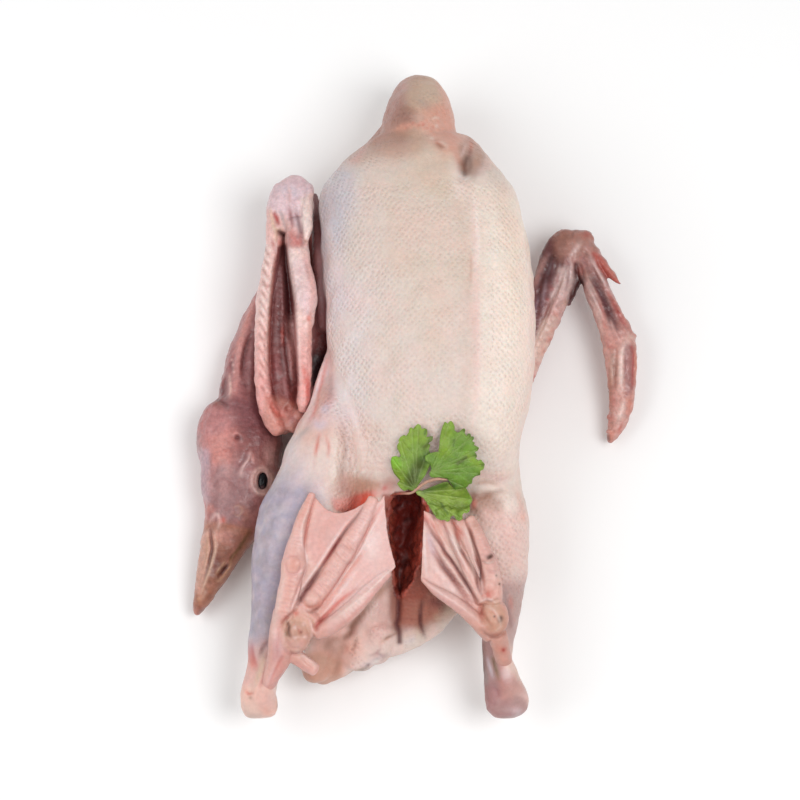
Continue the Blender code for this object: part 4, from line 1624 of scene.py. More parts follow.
    @staticmethod
    def dress_neck_root(skin: Skin) -> None:
        """Gives the hidden root of the neck the neck's own colour, where it runs on under the wing.

        Args:
            skin: The body's skin.
        """
        start, end = np.array((-52.0, 112.0, 19.0)), np.array((-100.0, 50.0, 18.0))
        span = end - start
        share = np.clip((skin.co - start) @ span / (span @ span), 0, 1)
        away = np.linalg.norm(skin.co - start - share[:, None] * span, axis=1)
        weight = ((1 - smooth_step(away, 20, 27)) * smooth_step(share, 0.05, 0.4))[:, None]
        tone = (Tone.MAUVE.linear() + Tone.ROSE.linear()) / 2 * (0.94, 0.72, 0.73)
        skin.tint = skin.tint * (1 - weight) + tone * weight

    @staticmethod
    def bruise(skin: Skin) -> None:
        """Turns the left thigh lavender in uneven patches.

        Args:
            skin: The body's skin.
        """
        edge = ((258, 506), (282, 492), (304, 498), (292, 550), (281, 590), (270, 622), (250, 628),
                (250, 540))
        weight = patch(edge, 15, Tone.LAVENDER, 1.0).weight(skin.seen) * skin.shown
        skin.stain(np.clip(weight * (0.95 + 0.12 * lumps(skin.co, 9, 14, 3)), 0, 1), Tone.LAVENDER)
        skin.stain(weight * smooth_step(lumps(skin.co, 13, 16, 3), -0.4, 1.2) * 0.35, Tone.GREY)
        skin.stain(weight * smooth_step(lumps(skin.co, 5, 17, 3), 0.0, 1.2) * 0.15, Tone.LILAC)

    @staticmethod
    def dress_cut(skin: Skin) -> None:
        """Darkens the hole, from raw red at its rim to a painted shade that is nearly black inside.

        Args:
            skin: The body's skin.
        """
        rim = np.interp(skin.seen[:, 1], (495, 530, 565, 600), (99, 94, 86, 72))
        depth = rim - skin.co[:, 2]
        skin.stain(skin.cut * smooth_step(depth, -4, 3) * 0.9, Tone.RAW)
        # painted shade: darker blood red the deeper the skin lies below the rim
        skin.stain(skin.cut * smooth_step(depth, 3, 14) * 0.95, Tone.BLOOD)
        right, down = skin.seen.T
        wall = np.interp(down, (500, 530, 545, 565, 590), (422, 414, 410, 405, 401))
        knots = smooth_step(lumps(skin.co, 7, 18, 3), -0.6, 1.0)
        skin.stain(skin.cut * smooth_step(right - wall, -1, 3) * (0.75 + 0.25 * knots), Tone.CORAL)
        skin.stain(skin.cut * smooth_step(397 - right, 0, 4) * (0.6 + 0.4 * knots), Tone.RAW)
        skin.stain(skin.cut * smooth_step(down, 545, 580) * 0.35, Tone.RAW)
        skin.stain(skin.cut * smooth_step(lumps(skin.co, 5, 19, 3), 0.3, 1.2) * 0.55, Tone.MUSCLE)
        # painted shade: black blotches inside the hole
        skin.stain(skin.cut * smooth_step(lumps(skin.co, 9, 20, 3), 0.2, 1.2) * 0.5, Tone.BLACK)
        skin.values["pores"][skin.cut] = 0

    @staticmethod
    def pore_strength(skin: Skin) -> np.ndarray:
        """How strong the pores are: plain on the flanks, faint on the left thigh and gone on the shanks.

        Args:
            skin: The body's skin.

        Returns:
            A value for each point, from 0 to 1.
        """
        right, down = skin.seen.T
        flank = 1 - smooth_step(right, 345, 395)
        other = smooth_step(right, 480, 500) * 0.75
        strength = np.clip(0.6 + flank * 0.4 + other * 0.2, 0, 1)
        strength *= 1 - smooth_step(down, 560, 640) * smooth_step(80 - np.abs(right - 400), -30, 0) * 0.1
        shank = (1 - smooth_step(right, 275, 330)) + smooth_step(right, 470, 500)
        thigh = (1 - smooth_step(right, 325, 345)) * smooth_step(down, 395, 430)
        return strength * (1 - thigh * 0.85) * (1 - np.clip(shank, 0, 1) * smooth_step(down, 590, 640))

    def build(self, material: bpy.types.Material) -> Skin:
        """Makes the body.

        Args:
            material: The skin's material.

        Returns:
            The finished skin.
        """
        skin = self.flesh().melt("goose_body", self.cell, 6, self.opening())
        skin.thin(self.kept_faces)
        self.dress(skin)
        skin.rest()
        skin.finish(material)
        return skin


@dataclass
class NeckAndHead:
    """The neck, which comes out from under the wing, and the head on its side with its bill."""

    cell: float = 0.9

    @staticmethod
    def flesh() -> Flesh:
        """The shapes of the neck and the head.

        Returns:
            The shapes, not yet melted together.
        """
        flesh = Flesh()
        flesh.strand(((317, 243, 18, 21, 16), (296, 271, 18, 23.5, 18), (267, 322, 18, 24, 18.5),
                      (255, 352, 19, 25, 19), (247, 380, 20, 25.5, 19), (244, 402, 22, 26, 19.5),
                      (243, 420, 23, 32, 20)))
        flesh.strand((
            (244, 398, 21, 22, 17), (243, 410, 22.5, 34, 21), (240, 424, 23.5, 41, 23),
            (239.5, 438, 24, 43.5, 23.5), (241, 460, 24, 40.5, 24), (240, 485, 23.5, 39, 23),
            (237, 508, 22.5, 34, 20.5), (230.5, 528, 21, 27.5, 17), (223, 546, 19.5, 22.5, 14.5),
            (215, 566, 17.5, 17.8, 12), (207.5, 585, 15.5, 13, 10), (201.5, 600, 13, 8.6, 8),
            (198.2, 609, 11.5, 5.6, 6.5), (197.2, 613.5, 10.5, 3.4, 4.5),
        ))
        return flesh

    @staticmethod
    def neck_marks() -> tuple[Mark, ...]:
        """The folds of the neck and the notch behind the head.

        Returns:
            The marks, in the order in which they go on.
        """
        return (
            patch(((216, 400), (236, 330), (262, 280), (262, 420), (224, 412)), 5, Tone.MAUVE, 0.8),
            ridge(((257, 292), (249, 318), (240, 348), (237, 376), (232, 398)), 3.0, 1.4, Tone.ROSE, 0.6),
            stain(((254, 300), (244, 328), (234, 356)), 1.8, Tone.SALMON, 0.35),
            groove(((252, 332), (245.5, 350), (242.5, 368), (243, 378)), 2.0, 2.4, Tone.WINE, 0.75),
            groove(((249, 352), (247, 376), (246, 400)), 3.0, 0.8, Tone.PLUM, 0.4),
            ridge(((251, 352), (250, 372), (250, 396)), 2.2, 0.7, Tone.MAUVE, 0.6),
            groove(((234, 356), (231, 364), (232, 370)), 1.4, 1.0, Tone.PLUM, 0.6),
            ridge(((229, 374), (230.5, 386), (229.5, 398)), 1.1, 0.7, Tone.CREAM, 0.6),
            *(ridge((spot,), 1.0, 0.4, Tone.PINK, 0.6) for spot in ((233, 365), (232, 360), (234, 372))),
            groove(((226, 376), (224, 390), (225, 402)), 2.4, 1.8, Tone.WINE, 0.7),
            stain(((222, 386), (221, 396)), 1.5, Tone.PLUM, 0.7),
            groove(((216, 399), (223, 403), (229, 408)), 2.0, 3.2, Tone.WINE, 0.85),
            stain(((212, 401), (218, 405), (222, 409)), 2.4, Tone.BROWN, 0.8),
            ridge(((212, 408), (220, 412), (228, 412)), 1.6, 0.6, Tone.TAN, 0.4),
            # painted shadow of the left wing along the neck's edge
            stain(((256, 318), (255, 360), (256, 404), (262, 424)), 2.2, Tone.WINE, 0.75),
            stain(((240, 400), (232, 412), (244, 420)), 5, Tone.PLUM, 0.3),
            stain(((258, 428), (250, 428)), 4, Tone.PLUM, 0.35),
            *(groove(((238, row), (246, row + 3), (254, row + 1)), 1.2, 0.5, Tone.PLUM, 0.25)
              for row in (382, 391, 399, 406)),
        )

    @staticmethod
    def head_marks() -> tuple[Mark, ...]:
        """The cheek, the ear, the crown and the lids.

        Returns:
            The marks, in the order in which they go on.
        """
        ring = tuple(
            (262.3 + 10.2 * math.cos(turn), 481 + 13.0 * math.sin(turn))
            for turn in np.linspace(0, 2 * math.pi, 17)
        )
        lid = tuple((262.3 + 6.2 * math.cos(turn), 480.8 + 9.6 * math.sin(turn))
                    for turn in np.linspace(0, 2 * math.pi, 17))
        return (
            patch(((200, 420), (250, 410), (280, 440), (276, 500), (250, 530), (206, 530), (200, 470)), 8,
                  Tone.MAUVE, 0.65),
            patch(((200, 426), (210, 412), (236, 414), (230, 434), (212, 448), (198, 450)), 5, Tone.ROSE,
                  0.5),
            patch(((214, 440), (238, 430), (246, 446), (232, 458), (216, 460)), 4.5, Tone.SALMON, 0.42),
            patch(((246, 430), (284, 436), (284, 462), (262, 462), (248, 450)), 5, Tone.BROWN, 0.35),
            patch(((199, 452), (206, 452), (208, 500), (202, 505)), 3, Tone.BLUE_GREY, 0.6),
            patch(((222, 470), (240, 474), (244, 505), (226, 520), (214, 500)), 5, Tone.GREY, 0.4),
            stain(((198, 434), (196, 442), (201, 452)), 2.2, Tone.GREY, 0.6),
            stain(((204, 500), (205, 520), (206, 534)), 2.4, Tone.ROSE, 0.7),
            stain(((208, 504), (212, 514)), 3.5, Tone.SALMON, 0.5),
            stain(((232, 460), (226, 480), (222, 500)), 4, Tone.ROSE, 0.3),
            patch(((212, 482), (250, 488), (246, 520), (214, 520)), 7, Tone.PLUM, 0.25),
            stain(((240, 505), (246, 515), (244, 524)), 4, Tone.HORN, 0.45),
            groove(((222, 518), (226, 527), (236, 528)), 2.0, 0.8, Tone.BROWN, 0.55),
            patch(((236, 404), (262, 408), (272, 430), (260, 440), (240, 426)), 5, Tone.PLUM, 0.6),
            patch(((234, 446), (258, 446), (250, 470), (236, 478)), 5, Tone.PLUM, 0.35),
            stain(((242, 452), (240, 466)), 5, Tone.GREY, 0.3),
            stain(((240, 428), (245, 444), (237, 460)), 7, Tone.PLUM, 0.45),
            stain(((227, 520), (227, 526)), 4, Tone.WINE, 0.35),
            # painted light on the head's lower right, against the thigh's shade
            stain(((268, 446), (271, 458), (272, 466)), 4, Tone.PINK, 0.6),
            groove(((237.3, 437.5),), 1.9, 3.0, Tone.PLUM, 0.95),
            ridge(((233, 434), (236, 432.6), (240, 434)), 0.9, 0.5, Tone.ROSE, 0.6),
            ridge(((240, 434.5), (241.5, 438), (240, 441.5)), 1.1, 0.6, Tone.GREY, 0.5),
            ridge(((251, 450), (248.5, 459), (243, 467), (240, 478)), 1.4, 1.1, Tone.PALE, 0.45),
            ridge(((251, 452), (253, 458), (254, 464)), 1.6, 0.5, Tone.ROSE, 0.6),
            groove(((246, 452), (243, 460), (238, 466)), 1.4, 0.7, Tone.PLUM, 0.35),
            groove(((254, 470), (250, 481), (253, 493)), 1.6, 0.7, Tone.MAUVE, 0.6),
            groove(((268, 468), (273.5, 481), (271, 492)), 1.6, 0.5, Tone.MAUVE, 0.4),
            ridge(ring, 1.9, 1.4, Tone.CREAM, 0.4, fade=False),
            ridge(lid, 1.0, 1.0, Tone.BREAST, 0.75, fade=False),
            ridge(((254.5, 488), (258, 492.5), (264, 494)), 1.0, 0.4, Tone.PALE, 0.7),
            # painted light on the right side of the eye ring, against the thigh's shade
            stain(((270, 472), (272.5, 481), (270, 490)), 2.6, Tone.CREAM, 0.6),
            groove(((262.3, 477), (262.3, 485)), 3.2, 2.4, Tone.BLACK, 0.9, fade=False),
            groove(((233, 508), (238, 505), (242, 510), (238, 516), (233, 512)), 0.8, 0.3, Tone.SAND, 0.35),
            groove(((220, 476), (232, 482), (244, 500)), 2.0, 0.6, Tone.PLUM, 0.25),
            ridge(((210, 470), (209, 486), (212, 500)), 3.0, 0.6, Tone.ROSE, 0.3),
        )

    @staticmethod
    def bill_marks() -> tuple[Mark, ...]:
        """The bill: its mouth, nostril and pale rims.

        Returns:
            The marks, in the order in which they go on.
        """
        return (
            patch(((206, 524), (226, 526), (250, 532), (240, 556), (222, 582), (206, 604), (196, 604),
                   (200, 560)), 3, Tone.HORN, 0.75),
            patch(((212, 534), (230, 534), (232, 548), (218, 572), (210, 584), (212, 560)), 2.5, Tone.ROSE,
                  0.55),
            patch(((226, 536), (240, 538), (234, 552), (226, 560)), 3, Tone.MAUVE, 0.45),
            patch(((220, 546), (229, 549), (223, 562), (214, 580), (209, 582), (212, 560)), 2.6, Tone.BROWN,
                  0.8),
            stain(((217, 552), (216, 562), (212, 574)), 2.2, Tone.MUSCLE, 0.75),
            patch(((200, 540), (207, 532), (208, 548), (204, 570), (198, 592), (196, 580)), 1.8, Tone.PINK,
                  0.6),
            ridge(((210, 522), (216, 514), (220, 520), (217, 530)), 1.6, 0.9, Tone.PALE, 0.5),
            stain(((222.5, 520),), 2.4, Tone.CORAL, 0.65),
            groove(((210, 527), (211, 537), (212.2, 548), (210.5, 557), (208, 568), (204, 582)), 1.1, 2.2,
                   Tone.WINE, 0.85),
            ridge(((214.5, 532), (215.5, 548), (212, 562), (207, 577), (201, 594)), 1.3, 0.9, Tone.CREAM,
                  0.65),
            ridge(((207, 530), (207.5, 548), (204, 570)), 1.2, 0.6, Tone.SAND, 0.4),
            groove(((228.5, 564.5), (224.5, 569), (220, 575)), 1.5, 2.0, Tone.WINE, 0.95),
            stain(((220, 560), (222, 570), (217, 580)), 2.4, Tone.WINE, 0.5),
            ridge(((232, 560), (229, 569), (220, 580), (216, 580)), 1.1, 0.7, Tone.SAND, 0.6),
            ridge(((226, 561), (221, 567), (216, 574)), 1.1, 0.6, Tone.SAND, 0.5),
            stain(((251, 529), (245, 539), (238, 550), (230, 561)), 1.5, Tone.OLIVE, 0.75),
            groove(((238, 549), (232, 556), (230, 562)), 0.9, 0.5, Tone.OLIVE, 0.5),
            stain(((212, 590), (205, 602)), 2.4, Tone.BROWN, 0.5),
            stain(((197, 610), (200, 605)), 3.2, Tone.BROWN, 0.7),
            stain(((204, 609), (200, 614)), 1.6, Tone.UMBER, 0.5),
            ridge(((198, 596), (200, 602)), 1.8, 0.5, Tone.SAND, 0.45),
            stain(((206, 590), (202, 600)), 1.4, Tone.CREAM, 0.35),
        )

    def build(self, material: bpy.types.Material) -> Skin:
        """Makes the neck and head.

        Args:
            material: The skin's material.

        Returns:
            The finished skin.
        """
        skin = self.flesh().melt("neck_and_head", self.cell, 4)
        skin.tint[:] = (Tone.MAUVE.linear() + Tone.ROSE.linear()) / 2
        skin.lift(lumps(skin.co, 16, 5, 3) * 0.4)
        skin.mottle(14, 21, Tone.ROSE, 0.5)
        skin.mottle(9, 22, Tone.PLUM, 0.25)
        for marks in (self.neck_marks(), self.head_marks(), self.bill_marks()):
            skin.mark(marks)
        skin.values["pores"] *= 0.25 * (1 - smooth_step(skin.seen[:, 1], 500, 530))
        bill = smooth_step(skin.seen[:, 1], 515, 545)[:, None]
        skin.tint *= np.array((0.94, 0.76, 0.77)) * (1 - bill) + np.array((0.80, 0.64, 0.56)) * bill
        back = smooth_step(skin.seen[:, 1], 392, 408) * (1 - smooth_step(skin.seen[:, 1], 425, 470))
        skin.tint *= 1 - back[:, None] * np.array((0.14, 0.2, 0.16))
        skin.rest()
        skin.finish(material)
        return skin


@dataclass(frozen=True)
class Eye:
    """The open eye, an almond of black between the lids."""

    spot: Station = (262.3, 480.6, 40.6)
    radii: Station = (3.8, 6.6, 3.0)

    def build(self, material: bpy.types.Material) -> None:
        """Makes the eye.

        Args:
            material: The eye's material.
        """
        flesh = Flesh()
        flesh.ball(self.spot, self.radii)
        skin = Skin(flesh.link("left_eye"), [])
        skin.tint[:] = Tone.BLACK.linear()
        skin.mark((stain(((262.5, 488.5),), 1.8, Tone.MAUVE, 0.55),
                   stain(((260, 477),), 1.4, Tone.GREY, 0.1)))
        skin.finish(material)


@dataclass
class LeftWing:
    """The folded wing, its underside up: forearm outside, hand inside, raw muscle in the hollow between."""

    cell: float = 0.85

    @staticmethod
    def flesh() -> Flesh:
        """The shapes of the wing.

        Returns:
            The shapes, not yet melted together.
        """
        flesh = Flesh()
        flesh.limb(((-62, 40, 42, 13, 13), (-76, 0, 38, 12, 13), (-92, -60, 38, 12, 12)))
        flesh.strand(((291, 205, 54, 18, 8), (288, 235, 52, 17, 8), (285, 270, 49, 18, 9),
                      (283, 310, 47, 21, 9), (281, 350, 46, 22, 9), (282, 390, 45, 21, 9.5),
                      (283, 416, 45, 15, 9), (281, 430, 45, 8, 7)))
        flesh.strand(((279, 188, 62, 5.5, 7), (276, 203, 62, 8.5, 8), (275, 226, 61.5, 8.8, 8),
                      (273.3, 250, 60, 8.2, 8), (269.3, 272, 59, 7.8, 8), (264.5, 298, 58, 8.2, 8.5),
                      (263, 325, 57, 8, 8.5), (262, 350, 56, 7.5, 8.5), (262.5, 376, 55, 8, 8.5),
                      (266, 400, 53, 9.2, 8.5), (272, 418, 51, 10, 8.5), (279, 430, 49, 8.5, 7.5)))
        flesh.strand(((291, 426, 48, 9, 7), (300, 414, 50, 6, 7)))
        flesh.strand(((299, 183, 63, 13, 6.5), (295.5, 190, 64, 18.5, 8.5), (292, 203, 64, 21.8, 9),
                      (291, 228, 63, 21, 8)))
        flesh.strand(((298, 224, 68, 12.5, 8), (297, 242, 68.5, 12, 8), (299, 263, 69, 12, 8),
                      (303.7, 285, 70, 12.2, 8.5), (305.5, 298, 70.5, 12.4, 9), (304.3, 313, 70, 10.6, 8.5),
                      (303, 335, 69, 9.2, 7.5), (304, 360, 68, 8, 7), (304.2, 383, 66.5, 7, 6.5),
                      (303.2, 400, 64.5, 6.6, 6), (302.3, 410, 62.5, 4.4, 4.8)))
        flesh.strand(((308.5, 187, 65, 4, 5), (309.5, 194, 67.5, 4.4, 5), (307.5, 205, 71, 5, 5),
                      (307, 226, 73, 5.6, 5), (306, 237, 73, 4, 4), (306.5, 243, 72.5, 1.8, 2.5)))
        return flesh

    @staticmethod
    def wrist_marks() -> tuple[Mark, ...]:
        """The bend of the wing, with its grooves and red nicks.

        Returns:
            The marks, in the order in which they go on.
        """
        return (
            patch(((272, 190), (300, 176), (312, 182), (306, 230), (290, 212), (268, 204)), 5, Tone.LILAC,
                  0.75),
            stain(((282, 186), (292, 190), (296, 200)), 4, Tone.BLUE_GREY, 0.5),
            patch(((304, 200), (312, 196), (313, 236), (305, 238)), 3, Tone.CREAM, 0.7),
            stain(((312, 192), (309, 200)), 1.6, Tone.SALMON, 0.3),
            stain(((288, 184), (290, 194), (288, 204)), 1.6, Tone.ROSE, 0.5),
            groove(((273.6, 212), (276.5, 218), (279.3, 225)), 1.4, 2.2, Tone.RED, 0.85),
            ridge(((270, 208), (272, 219), (275, 229), (283, 230)), 1.4, 0.9, Tone.SAND, 0.7),
            stain(((274, 229), (276, 233), (275, 243)), 2.0, Tone.SAND, 0.6),
            groove(((277, 231), (281, 233), (286, 237)), 1.8, 2.4, Tone.WINE, 0.85),
            stain(((279, 239), (282, 246), (279, 252)), 2.6, Tone.CORAL, 0.75),
            groove(((272, 240), (274, 246), (275, 252)), 1.1, 0.9, Tone.RED, 0.6),
            groove(((280, 208), (283, 220), (286, 231)), 1.3, 0.9, Tone.GREY, 0.5),
            groove(((289.5, 206), (291, 217), (293, 229)), 1.6, 1.4, Tone.MAUVE, 0.9),
            groove(((295, 209), (299, 222), (301.5, 234), (303.5, 250)), 1.6, 1.6, Tone.PLUM, 0.75),
            stain(((290, 228), (291.5, 240), (293, 254)), 2.6, Tone.RED, 0.45),
            stain(((294, 234), (297, 243), (298, 252)), 3.4, Tone.RED, 0.6),
            stain(((299, 232), (300, 246)), 2.2, Tone.RED, 0.4),
            stain(((297, 222), (299, 232), (298, 240)), 1.8, Tone.GREY, 0.45),
            stain(((287, 234), (290, 246), (289, 256)), 1.8, Tone.MAUVE, 0.4),
            groove(((304, 241), (307.5, 243)), 1.0, 1.4, Tone.BROWN, 0.65),
            ridge(((303, 200), (303.5, 216), (305, 232)), 1.1, 0.5, Tone.PALE, 0.5),
        )

    @staticmethod
    def strip_marks() -> tuple[Mark, ...]:
        """The two strips of skin along the hollow, the outer one with the feathers' stumps.

        Returns:
            The marks, in the order in which they go on.
        """
        stumps = tuple(
            mark
            for right, down in ((265, 252), (264.5, 262), (263, 272), (262.5, 283), (261.5, 294),
                                (260.5, 304), (260, 314), (259.5, 325), (259.5, 337), (259, 350),
                                (259.5, 363), (260, 376), (261, 389))
            for mark in (groove(((right - 1, down - 4), (right + 4.5, down + 4)), 1.0, 0.8, Tone.BROWN,
                                0.45),
                         ridge(((right, down - 9), (right + 6, down)), 1.3, 0.6, Tone.PALE, 0.6))
        )
        return (
            patch(((264, 250), (274, 250), (270, 300), (268, 400), (276, 432), (262, 420), (256, 380),
                   (256, 300)), 3, Tone.PINK, 0.6),
            *stumps,
            stain(((268, 284), (270, 288)), 1.8, Tone.RED, 0.5),
            stain(((264, 331), (266, 336)), 1.6, Tone.RED, 0.35),
            groove(((277, 256), (275, 270), (273, 290), (271, 315), (270, 340), (270, 362), (272, 384),
                    (276, 400)), 1.3, 1.2, Tone.CORAL, 0.8),
            stain(((275, 256), (272, 290), (269, 330), (269, 370)), 1.2, Tone.SALMON, 0.5),
            ridge(((272, 262), (269.5, 290), (267.5, 320), (267, 356), (268, 380)), 1.1, 0.5, Tone.CREAM,
                  0.5),
            stain(((264, 396), (268, 410), (272, 420)), 3, Tone.ROSE, 0.5),
            stain(((262, 380), (263, 392)), 2, Tone.RED, 0.2),
            patch(((288, 250), (309, 250), (317, 296), (311, 330), (310, 400), (300, 410), (297, 340),
                   (292, 285)), 2.5, Tone.PALE, 0.6),
            patch(((296, 262), (306, 262), (314, 296), (308, 312), (300, 300)), 3, Tone.LILAC, 0.6),
            stain(((305, 250), (309, 270), (313, 290), (311, 306)), 2.4, Tone.SALMON, 0.5),
            groove(((304, 252), (307, 268), (310, 282)), 1.1, 0.6, Tone.MAUVE, 0.35),
            stain(((298, 256), (302, 276), (308, 300)), 9, Tone.PINK, 0.5),
            stain(((305, 325), (304, 360), (303, 404)), 8, Tone.ROSE, 0.6),
            stain(((309, 315), (308.5, 322)), 1.8, Tone.CORAL, 0.65),
            stain(((311, 300), (310, 330), (309, 352)), 1.4, Tone.SALMON, 0.4),
            stain(((303, 366), (306, 378), (308, 402)), 2.2, Tone.CORAL, 0.6),
            stain(((309, 374), (308.5, 392), (307, 408)), 1.4, Tone.RED, 0.4),
            groove(((303, 330), (303.5, 350), (304, 372)), 1.4, 0.35, Tone.ROSE, 0.3),
            ridge(((298, 312), (299, 345), (300, 385)), 1.2, 0.4, Tone.PALE, 0.4),
            stain(((291, 262), (295, 290), (297, 320)), 1.0, Tone.MAUVE, 0.35),
            stain(((297, 408), (301, 414)), 2.2, Tone.ROSE, 0.4),
        )

    @staticmethod
    def hollow_marks() -> tuple[Mark, ...]:
        """The muscle in the hollow, in strands, and the elbow below it.

        Returns:
            The marks, in the order in which they go on.
        """
        return (
            patch(((279, 248), (285, 246), (288, 276), (293, 304), (295, 340), (297, 385), (294, 404),
                   (283, 408), (273, 396), (271, 350), (272, 310), (276, 270)), 1.6, Tone.MUSCLE, 0.95),
            groove(((285.5, 240), (285.5, 262), (289, 290), (291.5, 318)), 2.2, 3.4, Tone.WINE, 0.95),
            groove(((287, 276), (288, 300), (290, 322), (293, 342)), 3.0, 3.0, Tone.WINE, 0.9),
            ridge(((281, 262), (282, 290), (283, 312)), 1.5, 1.0, Tone.MAUVE, 0.4),
            stain(((278, 262), (277, 290), (276.5, 316)), 1.8, Tone.MAUVE, 0.55),
            stain(((277, 324), (276.5, 336), (277, 350)), 2.4, Tone.GREY, 0.4),
            stain(((282, 326), (282.5, 344)), 1.4, Tone.CORAL, 0.45),
            groove(((284.5, 318), (285.5, 345), (288, 366), (291.5, 392)), 1.3, 1.4, Tone.WINE, 0.8),
            *rungs(((281, 262), (280, 300), (279, 340)), 3.0, 5.5, 1.1, 0.6, Tone.PLUM, 0.5, 20),
            *rungs(((290, 345), (292, 368), (293, 388)), 2.4, 5.5, 1.0, 0.5, Tone.WINE, 0.5, -20),
            stain(((282, 352), (284, 372), (286, 384)), 2.2, Tone.GREY, 0.45),
            groove(((279.5, 300), (279.5, 330), (281.5, 358), (285, 380)), 1.1, 0.8, Tone.WINE, 0.5),
            ridge(((289, 340), (291, 358), (293.5, 378)), 1.6, 0.9, Tone.MAUVE, 0.8),
            groove(((294.5, 340), (295.5, 362), (297, 386)), 1.2, 0.8, Tone.WINE, 0.45),
            stain(((291, 318), (292.5, 345), (294, 378)), 3.0, Tone.ROSE, 0.65),
            ridge(((276, 352), (276.5, 368), (279, 386)), 2.0, 0.8, Tone.MAUVE, 0.75),
            stain(((277, 372), (279, 380)), 2.0, Tone.GREY, 0.6),
            ridge(((283, 370), (286, 386), (288, 398)), 1.6, 0.7, Tone.MAUVE, 0.7),
            groove(((288, 407), (286, 411)), 1.6, 1.4, Tone.WINE, 0.75),
            stain(((291, 402), (295, 407)), 2.6, Tone.RED, 0.5),
            patch(((268, 398), (296, 406), (300, 416), (292, 430), (278, 437), (266, 420)), 3, Tone.TAN,
                  0.6),
            stain(((270, 398), (280, 410), (294, 410)), 3.5, Tone.RED, 0.3),
            *rungs(((268, 396), (276, 414), (284, 428)), 4, 5, 1.3, 0.6, Tone.CORAL, 0.45, 40),
            stain(((276, 420), (280, 428)), 3.2, Tone.SALMON, 0.5),
            stain(((291, 416), (294, 422)), 3.0, Tone.MAUVE, 0.7),
            groove(((270, 402), (277, 414), (288, 417)), 1.4, 0.8, Tone.CORAL, 0.4),
            *rungs(((274, 352), (275, 372), (277, 392)), 2.6, 6.5, 1.2, 0.5, Tone.PLUM, 0.5),
        )

    def build(self, material: bpy.types.Material) -> Skin:
        """Makes the wing.

        Args:
            material: The skin's material.

        Returns:
            The finished skin.
        """
        skin = self.flesh().melt("left_wing", self.cell, 3)
        skin.tint[:] = (Tone.PINK.linear() + Tone.ROSE.linear()) / 2
        right, down = skin.seen.T
        inner_edge = np.interp(down, (240, 300, 330, 400), (309, 317, 312, 309))
        edge_height, hollow_height, root_height = 62, 45, 60
        height = skin.co[:, 2]
        # painted shade: low skin beside the wing's inner edge, in the gap by the flank, is stained wine
        beside = smooth_step(right, inner_edge - 2,
                             inner_edge + 3) * smooth_step(edge_height - height, 0, 6)
        skin.stain(beside, Tone.WINE)
        skin.stain(smooth_step(hollow_height - height, -4, 6) * 0.6, Tone.MUSCLE)
        skin.lift(lumps(skin.co, 9, 31, 2) * 0.3)
        skin.mottle(14, 32, Tone.ROSE, 0.15)
        for marks in (self.wrist_marks(), self.strip_marks(), self.hollow_marks()):
            skin.mark(marks)
        root_area = patch(((312, 240), (335, 240), (336, 372), (314, 384)), 2, Tone.MUSCLE, 1.0)
        root = root_area.weight(skin.seen)
        height = skin.co[:, 2]
        skin.stain(smooth_step(hollow_height - height, -4, 6) * root * 0.5, Tone.MAUVE)
        # the low skin at the root is muscle red, partly painted shade, and black lower down, a painted
        # shadow in the gap
        low_root = root * smooth_step(root_height - height, 0, 5)
        skin.stain(low_root * 0.9, Tone.MUSCLE)
        skin.stain(low_root * smooth_step(down, 340, 362) * 0.85, Tone.BLACK)
        skin.values["wet"] *= 1 - root
        low = smooth_step(down, 290, 400)[:, None]
        skin.tint *= np.array((0.95, 0.9, 0.92)) * (1 - low) + np.array((0.93, 0.66, 0.67)) * low
        skin.values["pores"] *= 0.35
        skin.finish(material)
        return skin


